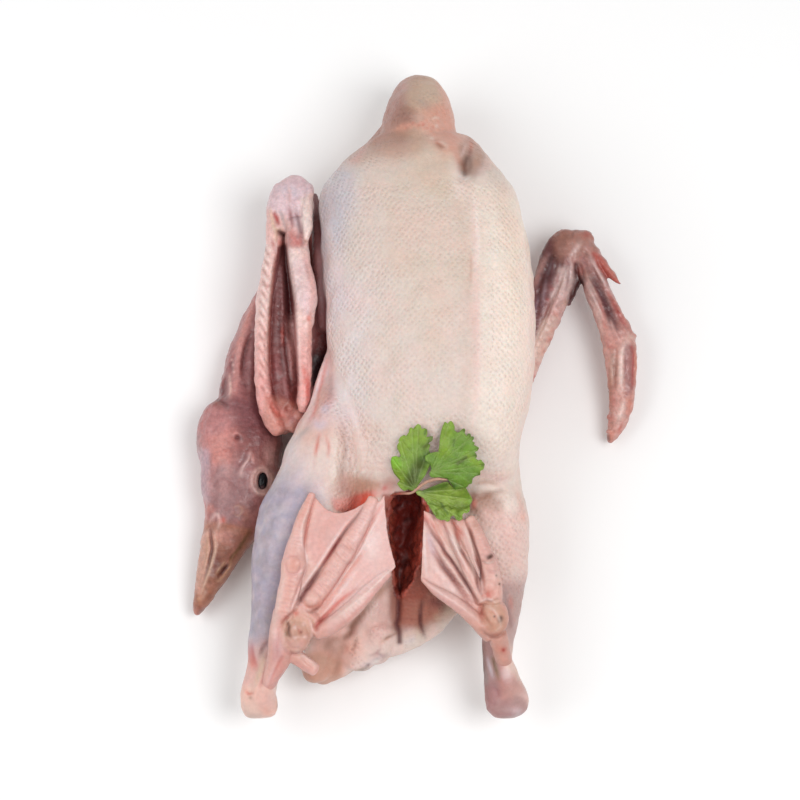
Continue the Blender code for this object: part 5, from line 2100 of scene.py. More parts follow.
@dataclass
class RightWing:
    """The spread wing: the forearm rises to the wrist and the hand drops to the table."""

    cell: float = 0.85

    @staticmethod
    def flesh() -> Flesh:
        """The shapes of the wing, with the lobes where the feathers stood along its edge.

        Returns:
            The shapes, not yet melted together.
        """
        flesh = Flesh()
        flesh.limb(((50, 20, 30, 13, 13), (60, -10, 26, 14, 12), (56, -60, 22, 14, 11)))
        flesh.strand(((508, 402, 22, 13, 9), (516, 385, 23, 15, 9), (525, 355, 25, 18, 9.5),
                      (535, 328, 27, 20, 9.5), (545, 305, 29, 21, 10), (554.5, 280, 31, 20.5, 10),
                      (560, 262, 33, 21, 10), (566, 247, 34, 19, 9.5), (571, 239, 34, 15, 8)))
        flesh.strand(((573, 250, 32, 12, 6), (573.5, 268, 31, 10.5, 5.5), (573, 280, 30, 8.5, 5),
                      (570, 292, 29, 6, 4.5), (567, 301, 28, 4, 4)))
        flesh.strand(((562, 241, 34, 9, 7.5), (574, 239.5, 34.5, 9.5, 7.5), (586, 238, 34, 7.5, 7),
                      (589, 241, 33, 5.5, 6)))
        flesh.strand(((577, 240, 35, 14, 9), (585, 255, 35, 13, 9), (592, 275, 34.5, 12.8, 9),
                      (600, 297, 33.5, 13.4, 8.5), (609.5, 318, 32, 14.5, 8), (617.5, 337, 30, 17, 8),
                      (620.5, 355, 28, 16.8, 7.5), (621.5, 375, 26, 15, 7), (621.8, 393, 23, 14, 7),
                      (620.5, 410, 19, 11.4, 6.5), (616.5, 425, 15, 9, 6), (612.3, 436, 12, 5.6, 5),
                      (610, 441, 10.5, 3, 3.5)))
        flesh.strand(((588, 246, 36, 7, 6), (598, 259, 37, 6, 5), (607, 270, 37.5, 5, 4),
                      (615, 279, 37.5, 3, 2.6), (620.5, 284, 37, 1, 1.2)))
        for right, down, size in ((568, 303, 2.6), (558, 309, 3.0), (552, 320, 3.2), (550, 331, 3.4),
                                  (546, 342, 3.6), (540, 355, 2.8), (535, 367, 2.8), (531, 380, 2.6)):
            flesh.ball((right, down, 26), (size, size, size * 0.8))
        for right, down, size in ((609.5, 392, 1.6), (610.5, 404, 1.8), (609, 417, 2.0), (608.5, 432, 2.0)):
            flesh.ball((right, down, 18), (size, size, size))
        flesh.ball((633.5, 336, 30), (2.2, 2.2, 2.2))
        return flesh

    @staticmethod
    def forearm_marks() -> tuple[Mark, ...]:
        """The forearm, dark along its front and cream along its lobed edge.

        Returns:
            The marks, in the order in which they go on.
        """
        return (
            patch(((553, 238), (562, 240), (560, 270), (552, 300), (536, 336), (531, 300), (536, 268)), 4,
                  Tone.PLUM, 0.95),
            stain(((556, 246), (550, 262), (545, 278)), 2.6, Tone.DEEP, 0.5),
            stain(((551, 262), (547, 276)), 1.3, Tone.BLUE_GREY, 0.75),
            patch(((540, 290), (552, 286), (546, 316), (536, 336), (532, 316)), 3, Tone.MAUVE, 0.6),
            stain(((547, 256), (538, 272), (533, 290)), 3.0, Tone.PINK, 0.8),
            groove(((552, 254), (548, 268), (547, 282)), 2.0, 1.4, Tone.WINE, 0.6),
            groove(((546, 268), (540, 288), (538, 306)), 2.2, 1.4, Tone.WINE, 0.7),
            ridge(((546, 280), (543, 296), (541, 312)), 1.4, 0.7, Tone.BLUE_GREY, 0.5),
            ridge(((539, 296), (535, 310), (534, 326)), 1.3, 0.6, Tone.LAVENDER, 0.55),
            *rungs(((541, 300), (537, 316), (535, 334)), 3.4, 5.2, 1.1, 0.6, Tone.PLUM, 0.55, 10),
            patch(((560, 270), (570, 268), (568, 296), (556, 312), (552, 300)), 2.4, Tone.PALE, 0.8),
            ridge(((565, 270), (566.5, 284), (563, 300)), 2.2, 1.0, Tone.PALE, 0.9),
            stain(((558, 274), (557, 284)), 1.8, Tone.RED, 0.5),
            stain(((552, 289),), 1.8, Tone.RED, 0.65),
            stain(((548, 300),), 1.6, Tone.RED, 0.6),
            ridge(((566, 272), (561, 286), (555, 298)), 1.2, 0.6, Tone.CREAM, 0.6),
            groove(((570, 262), (569, 276), (566, 290)), 1.1, 0.8, Tone.MAUVE, 0.7),
            groove(((562, 280), (557, 293), (551, 305), (545, 320), (539, 333), (534.5, 345)), 1.5, 1.3,
                   Tone.BROWN, 0.85),
            stain(((549, 300), (543, 314), (538, 326)), 1.8, Tone.ROSE, 0.4),
            stain(((543, 304), (539, 318), (536, 332)), 3.0, Tone.PLUM, 0.5),
            patch(((558, 298), (568, 300), (556, 322), (550, 348), (538, 378), (530, 380), (540, 344)), 2.6,
                  Tone.PINK, 0.75),
            patch(((545, 322), (554, 318), (548, 344), (534, 368), (530, 352)), 2.4, Tone.CREAM, 0.8),
            *(stain(((right, down),), 2.4, tone, 0.6) for right, down, tone in (
                (566, 303, Tone.SAND), (556, 314, Tone.SALMON), (553, 331, Tone.SALMON),
                (550, 340, Tone.CORAL), (544, 352, Tone.SALMON), (538, 364, Tone.ROSE),
                (534, 378, Tone.CORAL), (531, 388, Tone.SALMON))),
            *rungs(((560, 303), (551, 324), (545, 344), (536, 366)), 4.5, 7.5, 1.5, 0.8, Tone.ROSE, 0.5,
                   20),
            patch(((576, 264), (580, 266), (584, 282), (574, 303), (569, 304), (574, 284)), 1.6, Tone.WINE,
                  0.95, 1.0),
            stain(((568, 266), (572, 278), (570, 290)), 2.4, Tone.PALE, 0.8),
            stain(((582, 272), (578, 286), (570, 300)), 2.0, Tone.DEEP, 0.8),
            stain(((579, 266), (582, 276)), 2.0, Tone.CORAL, 0.65),
            stain(((570, 306), (571, 302)), 2.0, Tone.PLUM, 0.7),
            groove(((553, 250), (556, 262), (554, 276)), 1.4, 0.6, Tone.UMBER, 0.35),
            stain(((560, 256), (562, 266)), 2.6, Tone.BROWN, 0.5),
            groove(((564, 252), (568, 262), (566, 270)), 1.3, 0.6, Tone.MAUVE, 0.5),
        )

    @staticmethod
    def wrist_marks() -> tuple[Mark, ...]:
        """The wrist, tan with a painted highlight for its wet shine, and the thumb.

        Returns:
            The marks, in the order in which they go on.
        """
        return (
            patch(((556, 234), (592, 230), (596, 246), (580, 252), (560, 254)), 4, Tone.TAN, 0.75),
            stain(((560, 238), (570, 236)), 3.0, Tone.HORN, 0.6),
            stain(((583, 232), (590, 236)), 2.6, Tone.CORAL, 0.5),
            stain(((589, 244), (586, 252)), 3.0, Tone.ROSE, 0.6),
            # painted highlight of the wrist's wet shine
            ridge(((571, 256), (575, 250), (580, 243)), 2.2, 1.0, Tone.PALE, 0.95),
            ridge(((576, 256), (579, 266), (582, 276)), 1.2, 0.6, Tone.PINK, 0.6),
            groove(((580, 252), (586, 264), (592, 274)), 1.6, 0.9, Tone.MAUVE, 0.5),
            groove(((584, 250), (590, 258)), 1.4, 0.8, Tone.BROWN, 0.5),
            groove(((597, 262), (603, 270), (608, 278)), 1.4, 1.2, Tone.PLUM, 0.75),
            patch(((594, 254), (604, 262), (620, 284), (612, 280), (600, 268)), 1.8, Tone.CORAL, 0.75),
            ridge(((603, 260), (611, 270), (619, 282)), 1.2, 0.5, Tone.SALMON, 0.6),
            stain(((611, 283), (610, 289)), 1.2, Tone.ROSE, 0.6),
        )

    @staticmethod
    def hand_marks() -> tuple[Mark, ...]:
        """The hand, with its bones pale, its channels dark and its edges red.

        Returns:
            The marks, in the order in which they go on.
        """
        return (
            ridge(((590, 258), (598, 271), (605, 284), (612, 297)), 1.6, 1.0, Tone.PALE, 0.95),
            stain(((606, 290), (618, 308), (628, 322)), 2.2, Tone.SALMON, 0.6),
            groove(((590, 272), (599, 290), (608, 307), (618, 326)), 3.6, 2.4, Tone.WINE, 0.95),
            stain(((592, 280), (601, 298), (610, 316), (618, 334)), 3.0, Tone.PLUM, 0.9),
            stain(((600, 300), (609, 318), (616, 336)), 2.6, Tone.WINE, 0.6),
            groove(((604, 284), (612, 300), (620, 316), (628, 330)), 1.4, 1.2, Tone.RED, 0.5),
            stain(((612, 302), (620, 316), (625, 330)), 2.4, Tone.RED, 0.4),
            ridge(((583, 276), (591, 293), (599, 309), (607, 324)), 1.8, 0.9, Tone.PALE, 0.75),
            stain(((586, 270), (591, 280)), 2.6, Tone.BROWN, 0.6),
            groove(((594, 288), (601, 306), (606, 322)), 1.3, 0.8, Tone.CORAL, 0.55),
            stain(((585, 290), (594, 306), (601, 325), (606, 350), (608, 372)), 2.4, Tone.PALE, 0.8),
            stain(((603, 318), (605, 330)), 2.0, Tone.CORAL, 0.4),
            ridge(((610, 318), (614, 330), (618, 338)), 1.3, 0.7, Tone.PINK, 0.6),
            patch(((612, 342), (618, 346), (617, 366), (612, 380), (610, 362)), 2.0, Tone.TAN, 0.6),
            groove(((616, 344), (616, 360), (615, 378)), 1.2, 0.9, Tone.BROWN, 0.6),
            ridge(((586, 274), (594, 290), (602, 306)), 0.9, 0.5, Tone.CREAM, 0.6),
            groove(((590, 262), (597, 276), (604, 290)), 1.2, 0.9, Tone.MUSCLE, 0.6),
            groove(((624, 350), (626, 364), (625, 380)), 1.1, 0.8, Tone.MAUVE, 0.6),
            patch(((604, 330), (618, 334), (618, 352), (612, 380), (608, 372)), 3, Tone.ROSE, 0.5),
            ridge(((627, 340), (623, 350), (620.5, 365), (621, 380), (619.5, 391)), 2.6, 1.3, Tone.PALE,
                  1.0),
            ridge(((624, 402), (621.5, 411), (618, 421)), 2.4, 1.0, Tone.PALE, 0.95),
            ridge(((613, 352), (612, 368), (612, 384)), 1.6, 0.6, Tone.CREAM, 0.7),
            patch(((626, 346), (634, 348), (633, 385), (627, 396), (626, 370)), 1.8, Tone.MAUVE, 0.7),
            groove(((630.5, 344), (633.5, 355), (633, 370), (632, 388)), 1.3, 1.0, Tone.RED, 0.7),
            stain(((605, 336), (608, 346), (616, 348)), 2.0, Tone.RED, 0.35),
            stain(((635, 345), (636, 365), (635, 385)), 1.5, Tone.SALMON, 0.75),
            stain(((628, 336), (634, 338)), 1.6, Tone.CREAM, 0.6),
            groove(((612, 350), (614, 370), (614, 390)), 2.0, 0.9, Tone.BROWN, 0.65),
            stain(((609.5, 372), (610, 390), (609, 408)), 1.4, Tone.HORN, 0.5),
            stain(((614, 396), (615, 408)), 2.0, Tone.RED, 0.55),
            stain(((612, 418),), 2.2, Tone.RED, 0.5),
            stain(((626, 395), (630, 404), (628, 414)), 2.4, Tone.SALMON, 0.6),
            stain(((622, 424), (618, 434)), 1.6, Tone.CORAL, 0.5),
            stain(((612, 428), (611, 440)), 2.4, Tone.SALMON, 0.6),
            stain(((606.5, 434), (610, 442)), 1.4, Tone.UMBER, 0.6),
            *rungs(((611, 385), (612, 404), (611, 424)), 2.6, 6, 1.2, 0.5, Tone.BROWN, 0.4),
            stain(((617, 390), (615, 410), (613, 426)), 2.5, Tone.PINK, 0.5),
        )

    def build(self, material: bpy.types.Material) -> Skin:
        """Makes the wing.

        Args:
            material: The skin's material.

        Returns:
            The finished skin.
        """
        skin = self.flesh().melt("right_wing", self.cell, 3)
        skin.tint[:] = Tone.ROSE.linear() * 0.75 + Tone.TAN.linear() * 0.25
        skin.stain(smooth_step(skin.seen[:, 1], 290, 330) * (skin.seen[:, 0] < 575) * 0.6, Tone.PINK)
        skin.lift(lumps(skin.co, 8, 41, 2) * 0.3)
        skin.mottle(9, 42, Tone.MAUVE, 0.2)
        skin.mottle(5, 43, Tone.PALE, 0.25)
        for marks in (self.forearm_marks(), self.wrist_marks(), self.hand_marks()):
            skin.mark(marks)
        low = smooth_step(skin.seen[:, 1], 280, 350)[:, None]
        skin.tint *= np.array((0.69, 0.57, 0.59)) * (1 - low) + np.array((0.84, 0.71, 0.70)) * low
        skin.values["pores"] *= 0.2
        skin.rest()
        skin.finish(material)
        return skin


@dataclass(frozen=True)
class Web:
    """The skin between two toes, by the pixels and heights of a line along each."""

    first: tuple[Station, ...]
    second: tuple[Station, ...]
    scallop: float = 0.0
    sag: float = 1.5
    pleats: int = 0
    pleat_depth: float = 0.0
    thickness: float = 2.6


@dataclass(frozen=True)
class Foot:
    """A webbed foot, sole up, with the shank that holds it above the belly.

    limbs are the shank and the toes, pads the balls of flesh under them as a pixel, a height and three
    radii, and marks the folds in order.
    """

    name: str
    limbs: tuple[tuple[Station, ...], ...]
    pads: tuple[Station, ...]
    webs: tuple[Web, ...]
    marks: tuple[Mark, ...]
    cell: float = 0.65

    def build(self, material: bpy.types.Material) -> Skin:
        """Makes the foot.

        Args:
            material: The skin's material.

        Returns:
            The finished skin.
        """
        flesh = Flesh()
        for limb in self.limbs:
            flesh.strand(limb)
        for pad in self.pads:
            flesh.ball(pad[:3], pad[3:])
        for web in self.webs:
            flesh.sheet(web.first, web.second, web.scallop, web.sag, web.thickness, web.pleats,
                        web.pleat_depth)
        skin = flesh.melt(self.name, self.cell, 3)
        skin.tint[:] = Tone.FOOT.linear()
        skin.lift(lumps(skin.co, 7, 51, 2) * 0.12)
        skin.mottle(18, 52, Tone.PINK, 0.4)
        skin.mottle(12, 53, Tone.ROSE, 0.12)
        skin.mark(self.marks)
        skin.values["pores"][:] = 0
        # painted shade: skin that faces sideways is stained raw red, darkening the edges of toes and webs
        skin.stain(smooth_step(1 - skin.normal[:, 2], 0.3, 0.85) * 0.16, Tone.RAW)
        right, down = skin.seen.T
        low = smooth_step(down, 590, 640)[:, None]
        end = smooth_step(down, 655, 682)[:, None]
        hock = np.where(right[:, None] < 400, (0.90, 0.80, 0.84), (0.70, 0.56, 0.60))
        shank = np.where(right[:, None] < 400, (0.80, 0.64, 0.64), (0.72, 0.57, 0.54))
        foot = np.where(right[:, None] < 405, (0.88, 0.81, 0.85), (0.84, 0.75, 0.77))
        skin.tint *= foot * (1 - low) + shank * low * (1 - end) + hock * end
        skin.finish(material)
        return skin


def left_foot_marks() -> tuple[Mark, ...]:
    """The folds of the left web, toes and sole, and the dark places on the shank; the pale and cream ridges
    beside the folds are painted highlights.

    Returns:
        The marks, in the order in which they go on.
    """
    return (
        patch(((318, 496), (343, 513), (371, 498), (340, 540), (322, 566), (309, 566), (305, 540)), 3,
              Tone.FOOT, 0.8),
        patch(((364, 512), (385, 500), (387, 540), (395, 566), (364, 604), (330, 630), (336, 588)), 3,
              Tone.PINK, 0.55),
        stain(((376, 530), (372, 545), (374, 562)), 8, Tone.PALE, 0.6),
        stain(((326, 520), (320, 545)), 3.5, Tone.SALMON, 0.35),
        stain(((343, 520), (330, 540)), 3.0, Tone.PINK, 0.5),
        patch(((322, 510), (342, 516), (358, 510), (330, 548), (316, 560), (312, 540)), 4, Tone.ROSE, 0.45),
        stain(((312, 492), (306, 506), (299, 524)), 2.4, Tone.SALMON, 0.45),
        stain(((296, 545), (292, 575), (286, 608)), 4.0, Tone.SALMON, 0.35),
        stain(((272, 640), (274, 622), (279, 600), (284, 575)), 2.0, Tone.CREAM, 0.6),
        *rungs(((312, 494), (302, 520), (296, 548)), 7, 3.4, 0.8, 0.35, Tone.ROSE, 0.4),
        *rungs(((295, 572), (289, 595), (284, 618)), 11, 4.4, 0.9, 0.4, Tone.ROSE, 0.4),
        groove(((286, 562), (286, 570), (292, 575), (299, 571), (301, 563)), 1.0, 0.8, Tone.ROSE, 0.6),
        groove(((286, 560), (289, 556), (295, 556), (301, 560)), 1.0, 0.5, Tone.ROSE, 0.45),
        stain(((294, 563),), 5.0, Tone.SALMON, 0.45),
        groove(((316, 497), (311.5, 509), (308.5, 521), (306, 533), (304.5, 545), (306, 556)), 1.0, 1.2,
               Tone.CORAL, 0.55),
        ridge(((303, 528), (302.5, 544), (307, 560), (300, 576)), 1.0, 0.7, Tone.PALE, 0.6),
        groove(((308, 566), (301, 580), (296, 594), (290, 612)), 1.0, 0.9, Tone.ROSE, 0.6),
        groove(((362, 508), (355, 518), (347, 528), (339, 540), (332, 551), (324, 563), (315, 577),
                (306, 591), (297, 605)), 1.0, 1.4, Tone.WINE, 0.75),
        groove(((341, 537), (332, 551), (322, 566)), 1.1, 0.8, Tone.RED, 0.6),
        groove(((320, 570), (312, 581), (305, 592), (299, 603)), 2.2, 1.3, Tone.MUSCLE, 0.85),
        ridge(((350, 517), (338, 534), (326, 553), (312, 574), (300, 592), (290, 612)), 1.2, 0.7, Tone.PALE,
              0.6),
        stain(((350, 548), (340, 562), (326, 584)), 4.6, Tone.FOOT, 0.5),
        *rungs(((370, 504), (360, 524), (352, 538)), 7, 3.6, 0.8, 0.3, Tone.ROSE, 0.35),
        *rungs(((352, 540), (340, 560), (328, 578), (317, 596)), 9, 3.4, 0.8, 0.5, Tone.ROSE, 0.55, 10),
        groove(((303, 601), (308, 607), (316, 606), (321, 600)), 1.4, 0.9, Tone.SALMON, 0.7),
        stain(((350, 547),), 3.0, Tone.SALMON, 0.55),
        groove(((381, 505), (374, 519), (367, 532), (361, 545), (354, 557), (346, 569), (338, 582),
                (328, 596), (317, 609)), 1.1, 1.2, Tone.CORAL, 0.7),
        ridge(((383, 508), (370, 533), (357, 557), (342, 580), (330, 598), (319, 611)), 1.0, 0.6, Tone.PALE,
              0.55),
        groove(((364, 552), (350, 570), (336, 590), (318, 614)), 1.2, 0.9, Tone.SALMON, 0.75),
        ridge(((360, 566), (347, 583), (334, 600), (322, 616)), 1.3, 0.7, Tone.PALE, 0.45),
        ridge(((394, 568), (378, 576), (360, 590), (344, 604), (326, 622)), 1.1, 0.6, Tone.PALE, 0.5),
        groove(((356, 588), (340, 601), (329, 612), (320, 620)), 1.4, 1.0, Tone.CORAL, 0.75),
        groove(((372, 570), (358, 584), (348, 594)), 1.3, 0.5, Tone.PINK, 0.4),
        ridge(((379, 512), (369, 531), (357, 553), (342, 577), (327, 598)), 1.0, 0.5, Tone.CREAM, 0.6),
        ridge(((309, 508), (303, 524), (300, 540)), 1.0, 0.4, Tone.CREAM, 0.5),
        ridge(((396, 567), (386, 574), (372, 588), (350, 606), (332, 620)), 1.0, 0.5, Tone.CREAM, 0.7),
        *rungs(((378, 582), (360, 601), (340, 618)), 6, 4.4, 1.0, 0.35, Tone.ROSE, 0.3),
        ridge(((385, 502), (386.5, 520), (386.5, 544), (390, 560)), 1.0, 0.4, Tone.PINK, 0.5),
        stain(((392, 572), (376, 590), (358, 610), (336, 628)), 1.6, Tone.CORAL, 0.25),
        stain(((368, 592), (352, 606), (338, 617)), 3.6, Tone.CREAM, 0.6),
        groove(((306, 611), (312, 612), (319, 607)), 1.4, 0.9, Tone.BROWN, 0.5),
        groove(((300, 612), (308, 616), (314, 622), (315, 630)), 1.3, 1.0, Tone.SAND, 0.5),
        groove(((282, 626), (286, 619), (291, 614), (297, 608)), 1.3, 1.2, Tone.BROWN, 0.6),
        stain(((282, 626), (284, 621), (289, 616)), 2.2, Tone.RED, 0.7),
        stain(((296, 614),), 2.2, Tone.CORAL, 0.75),
        patch(((285, 624), (297, 618), (310, 624), (311, 644), (298, 650), (287, 644)), 3, Tone.SAND, 0.6),
        stain(((288, 642), (296, 634), (302, 640)), 6, Tone.TAN, 0.5),
        stain(((289, 640), (297, 646), (305, 642)), 3, Tone.PINK, 0.6),
        groove(((286, 640), (292, 647), (301, 648)), 1.2, 0.8, Tone.ROSE, 0.5),
        groove(((289, 622), (288, 630), (291, 637)), 1.5, 1.2, Tone.TAN, 0.75),
        groove(((299, 628), (301, 634)), 1.3, 1.0, Tone.SALMON, 0.7),
        stain(((286.5, 620), (289, 626), (288.5, 632), (291, 637.5)), 1.2, Tone.UMBER, 0.75),
        stain(((286, 631), (287, 637)), 1.4, Tone.OLIVE, 0.6),
        stain(((300.5, 630.5), (302, 633.5)), 1.4, Tone.BROWN, 0.8),
        stain(((305, 639), (299, 645)), 1.6, Tone.ROSE, 0.4),
        *(ridge((spot,), 1.7, 0.9, Tone.PALE, 0.6) for spot in ((295, 627), (295, 638), (304, 624),
                                                                (306, 637))),
        ridge(((308, 616), (312, 628), (311, 640), (306, 648)), 1.2, 0.7, Tone.PALE, 0.6),
        groove(((283, 648), (290, 653), (298, 653), (307, 649)), 1.3, 1.0, Tone.ROSE, 0.7),
        groove(((317, 632), (316.5, 626), (320, 622), (327, 615)), 1.8, 1.8, Tone.RED, 0.7),
        stain(((275, 626), (274, 640)), 2.4, Tone.PALE, 0.7),
        stain(((277, 636), (278, 650), (275, 662)), 4.0, Tone.LILAC, 0.6),
        groove(((279, 628), (278, 645), (276, 660)), 1.3, 0.7, Tone.ROSE, 0.6),
        stain(((298, 652), (306, 656), (314, 661), (321, 667)), 3.0, Tone.CREAM, 0.85),
        ridge(((300, 652), (308, 658), (316, 664)), 1.2, 0.7, Tone.PALE, 0.7),
        groove(((302, 658), (309, 664), (315, 670)), 1.1, 0.8, Tone.SALMON, 0.6),
        groove(((296, 662), (304, 669), (311, 674)), 1.3, 0.8, Tone.ROSE, 0.5),
        stain(((300, 655), (308, 661), (317, 668)), 2.4, Tone.CREAM, 0.6),
        groove(((319, 664), (317, 670), (314, 675)), 1.0, 0.5, Tone.ROSE, 0.4),
        groove(((284, 655), (276, 667), (270, 680), (265, 694)), 1.5, 0.9, Tone.CORAL, 0.55),
        ridge(((277, 661), (271, 675), (266, 690)), 1.4, 0.6, Tone.PALE, 0.5),
        stain(((286, 664), (278, 680), (272, 694)), 4.0, Tone.CORAL, 0.4),
    )


def left_foot() -> Foot:
    """The foot on the -X side: three spread toes with the skin between them, and the small hind toe.

    Returns:
        The foot, not yet built.
    """
    outer = ((284, 622, 89, 10, 6), (285, 610, 91, 10.5, 6.5), (288, 595, 93, 11, 6), (291, 580, 95, 11, 6),
             (293, 565, 97, 12, 6.5), (295, 550, 98, 10, 6), (298.5, 534, 99, 7.5, 5.5),
             (301.5, 521, 100, 6.3, 5), (306.5, 508, 101, 5.5, 4), (312, 495, 102, 3.8, 3))
    middle = ((311, 601, 90, 9, 6), (318, 593, 91, 10, 6), (327.5, 580, 93, 10, 6), (337, 565, 95, 10, 6),
              (350, 542, 98, 9.5, 5.5), (357.5, 530, 99, 8.5, 5), (364.5, 518, 100, 7.5, 4.5),
              (373, 499, 102, 5.5, 3))
    inner = ((318, 632, 88, 8, 6), (330, 626, 90, 9, 6), (344, 616, 92, 9, 6), (358, 603, 94, 8.5, 5),
             (372, 588, 95, 7, 4), (388, 573, 95, 4.5, 3))
    hind = ((288, 651, 80, 9, 6), (298, 658, 78, 8, 5), (307, 664.5, 76, 7.4, 4.4),
            (315, 669.5, 74, 6.8, 3.6))
    shank = ((283, 612, 87, 10, 7), (281, 632, 86, 12, 8), (281, 648, 83, 13, 8.5),
             (278, 661, 77, 11.5, 8.5), (273, 673, 69, 9, 8.5), (268.5, 684, 59, 7.5, 7.5),
             (266, 693, 50, 6, 6))
    webs = (
        Web(outer[1:], middle, 0.13),
        Web(((311, 601, 90), (337, 565, 95), (360, 528, 99), (384.5, 495, 102)),
            ((318, 630, 88), (346, 613, 92), (372, 590, 95), (396, 567, 96)), 0.05, 2.0),
    )
    pads = ((296, 635, 86, 11, 13.5, 9), (294, 563, 97, 8.8, 8.4, 8), (312, 599, 91, 8.5, 8, 7.5),
            (345, 553, 97, 8, 9, 7), (302, 613, 85, 11, 13, 9), (312, 624, 85, 8, 10, 8))
    return Foot("left_foot", (shank, outer, middle, inner, hind), pads, webs, left_foot_marks())


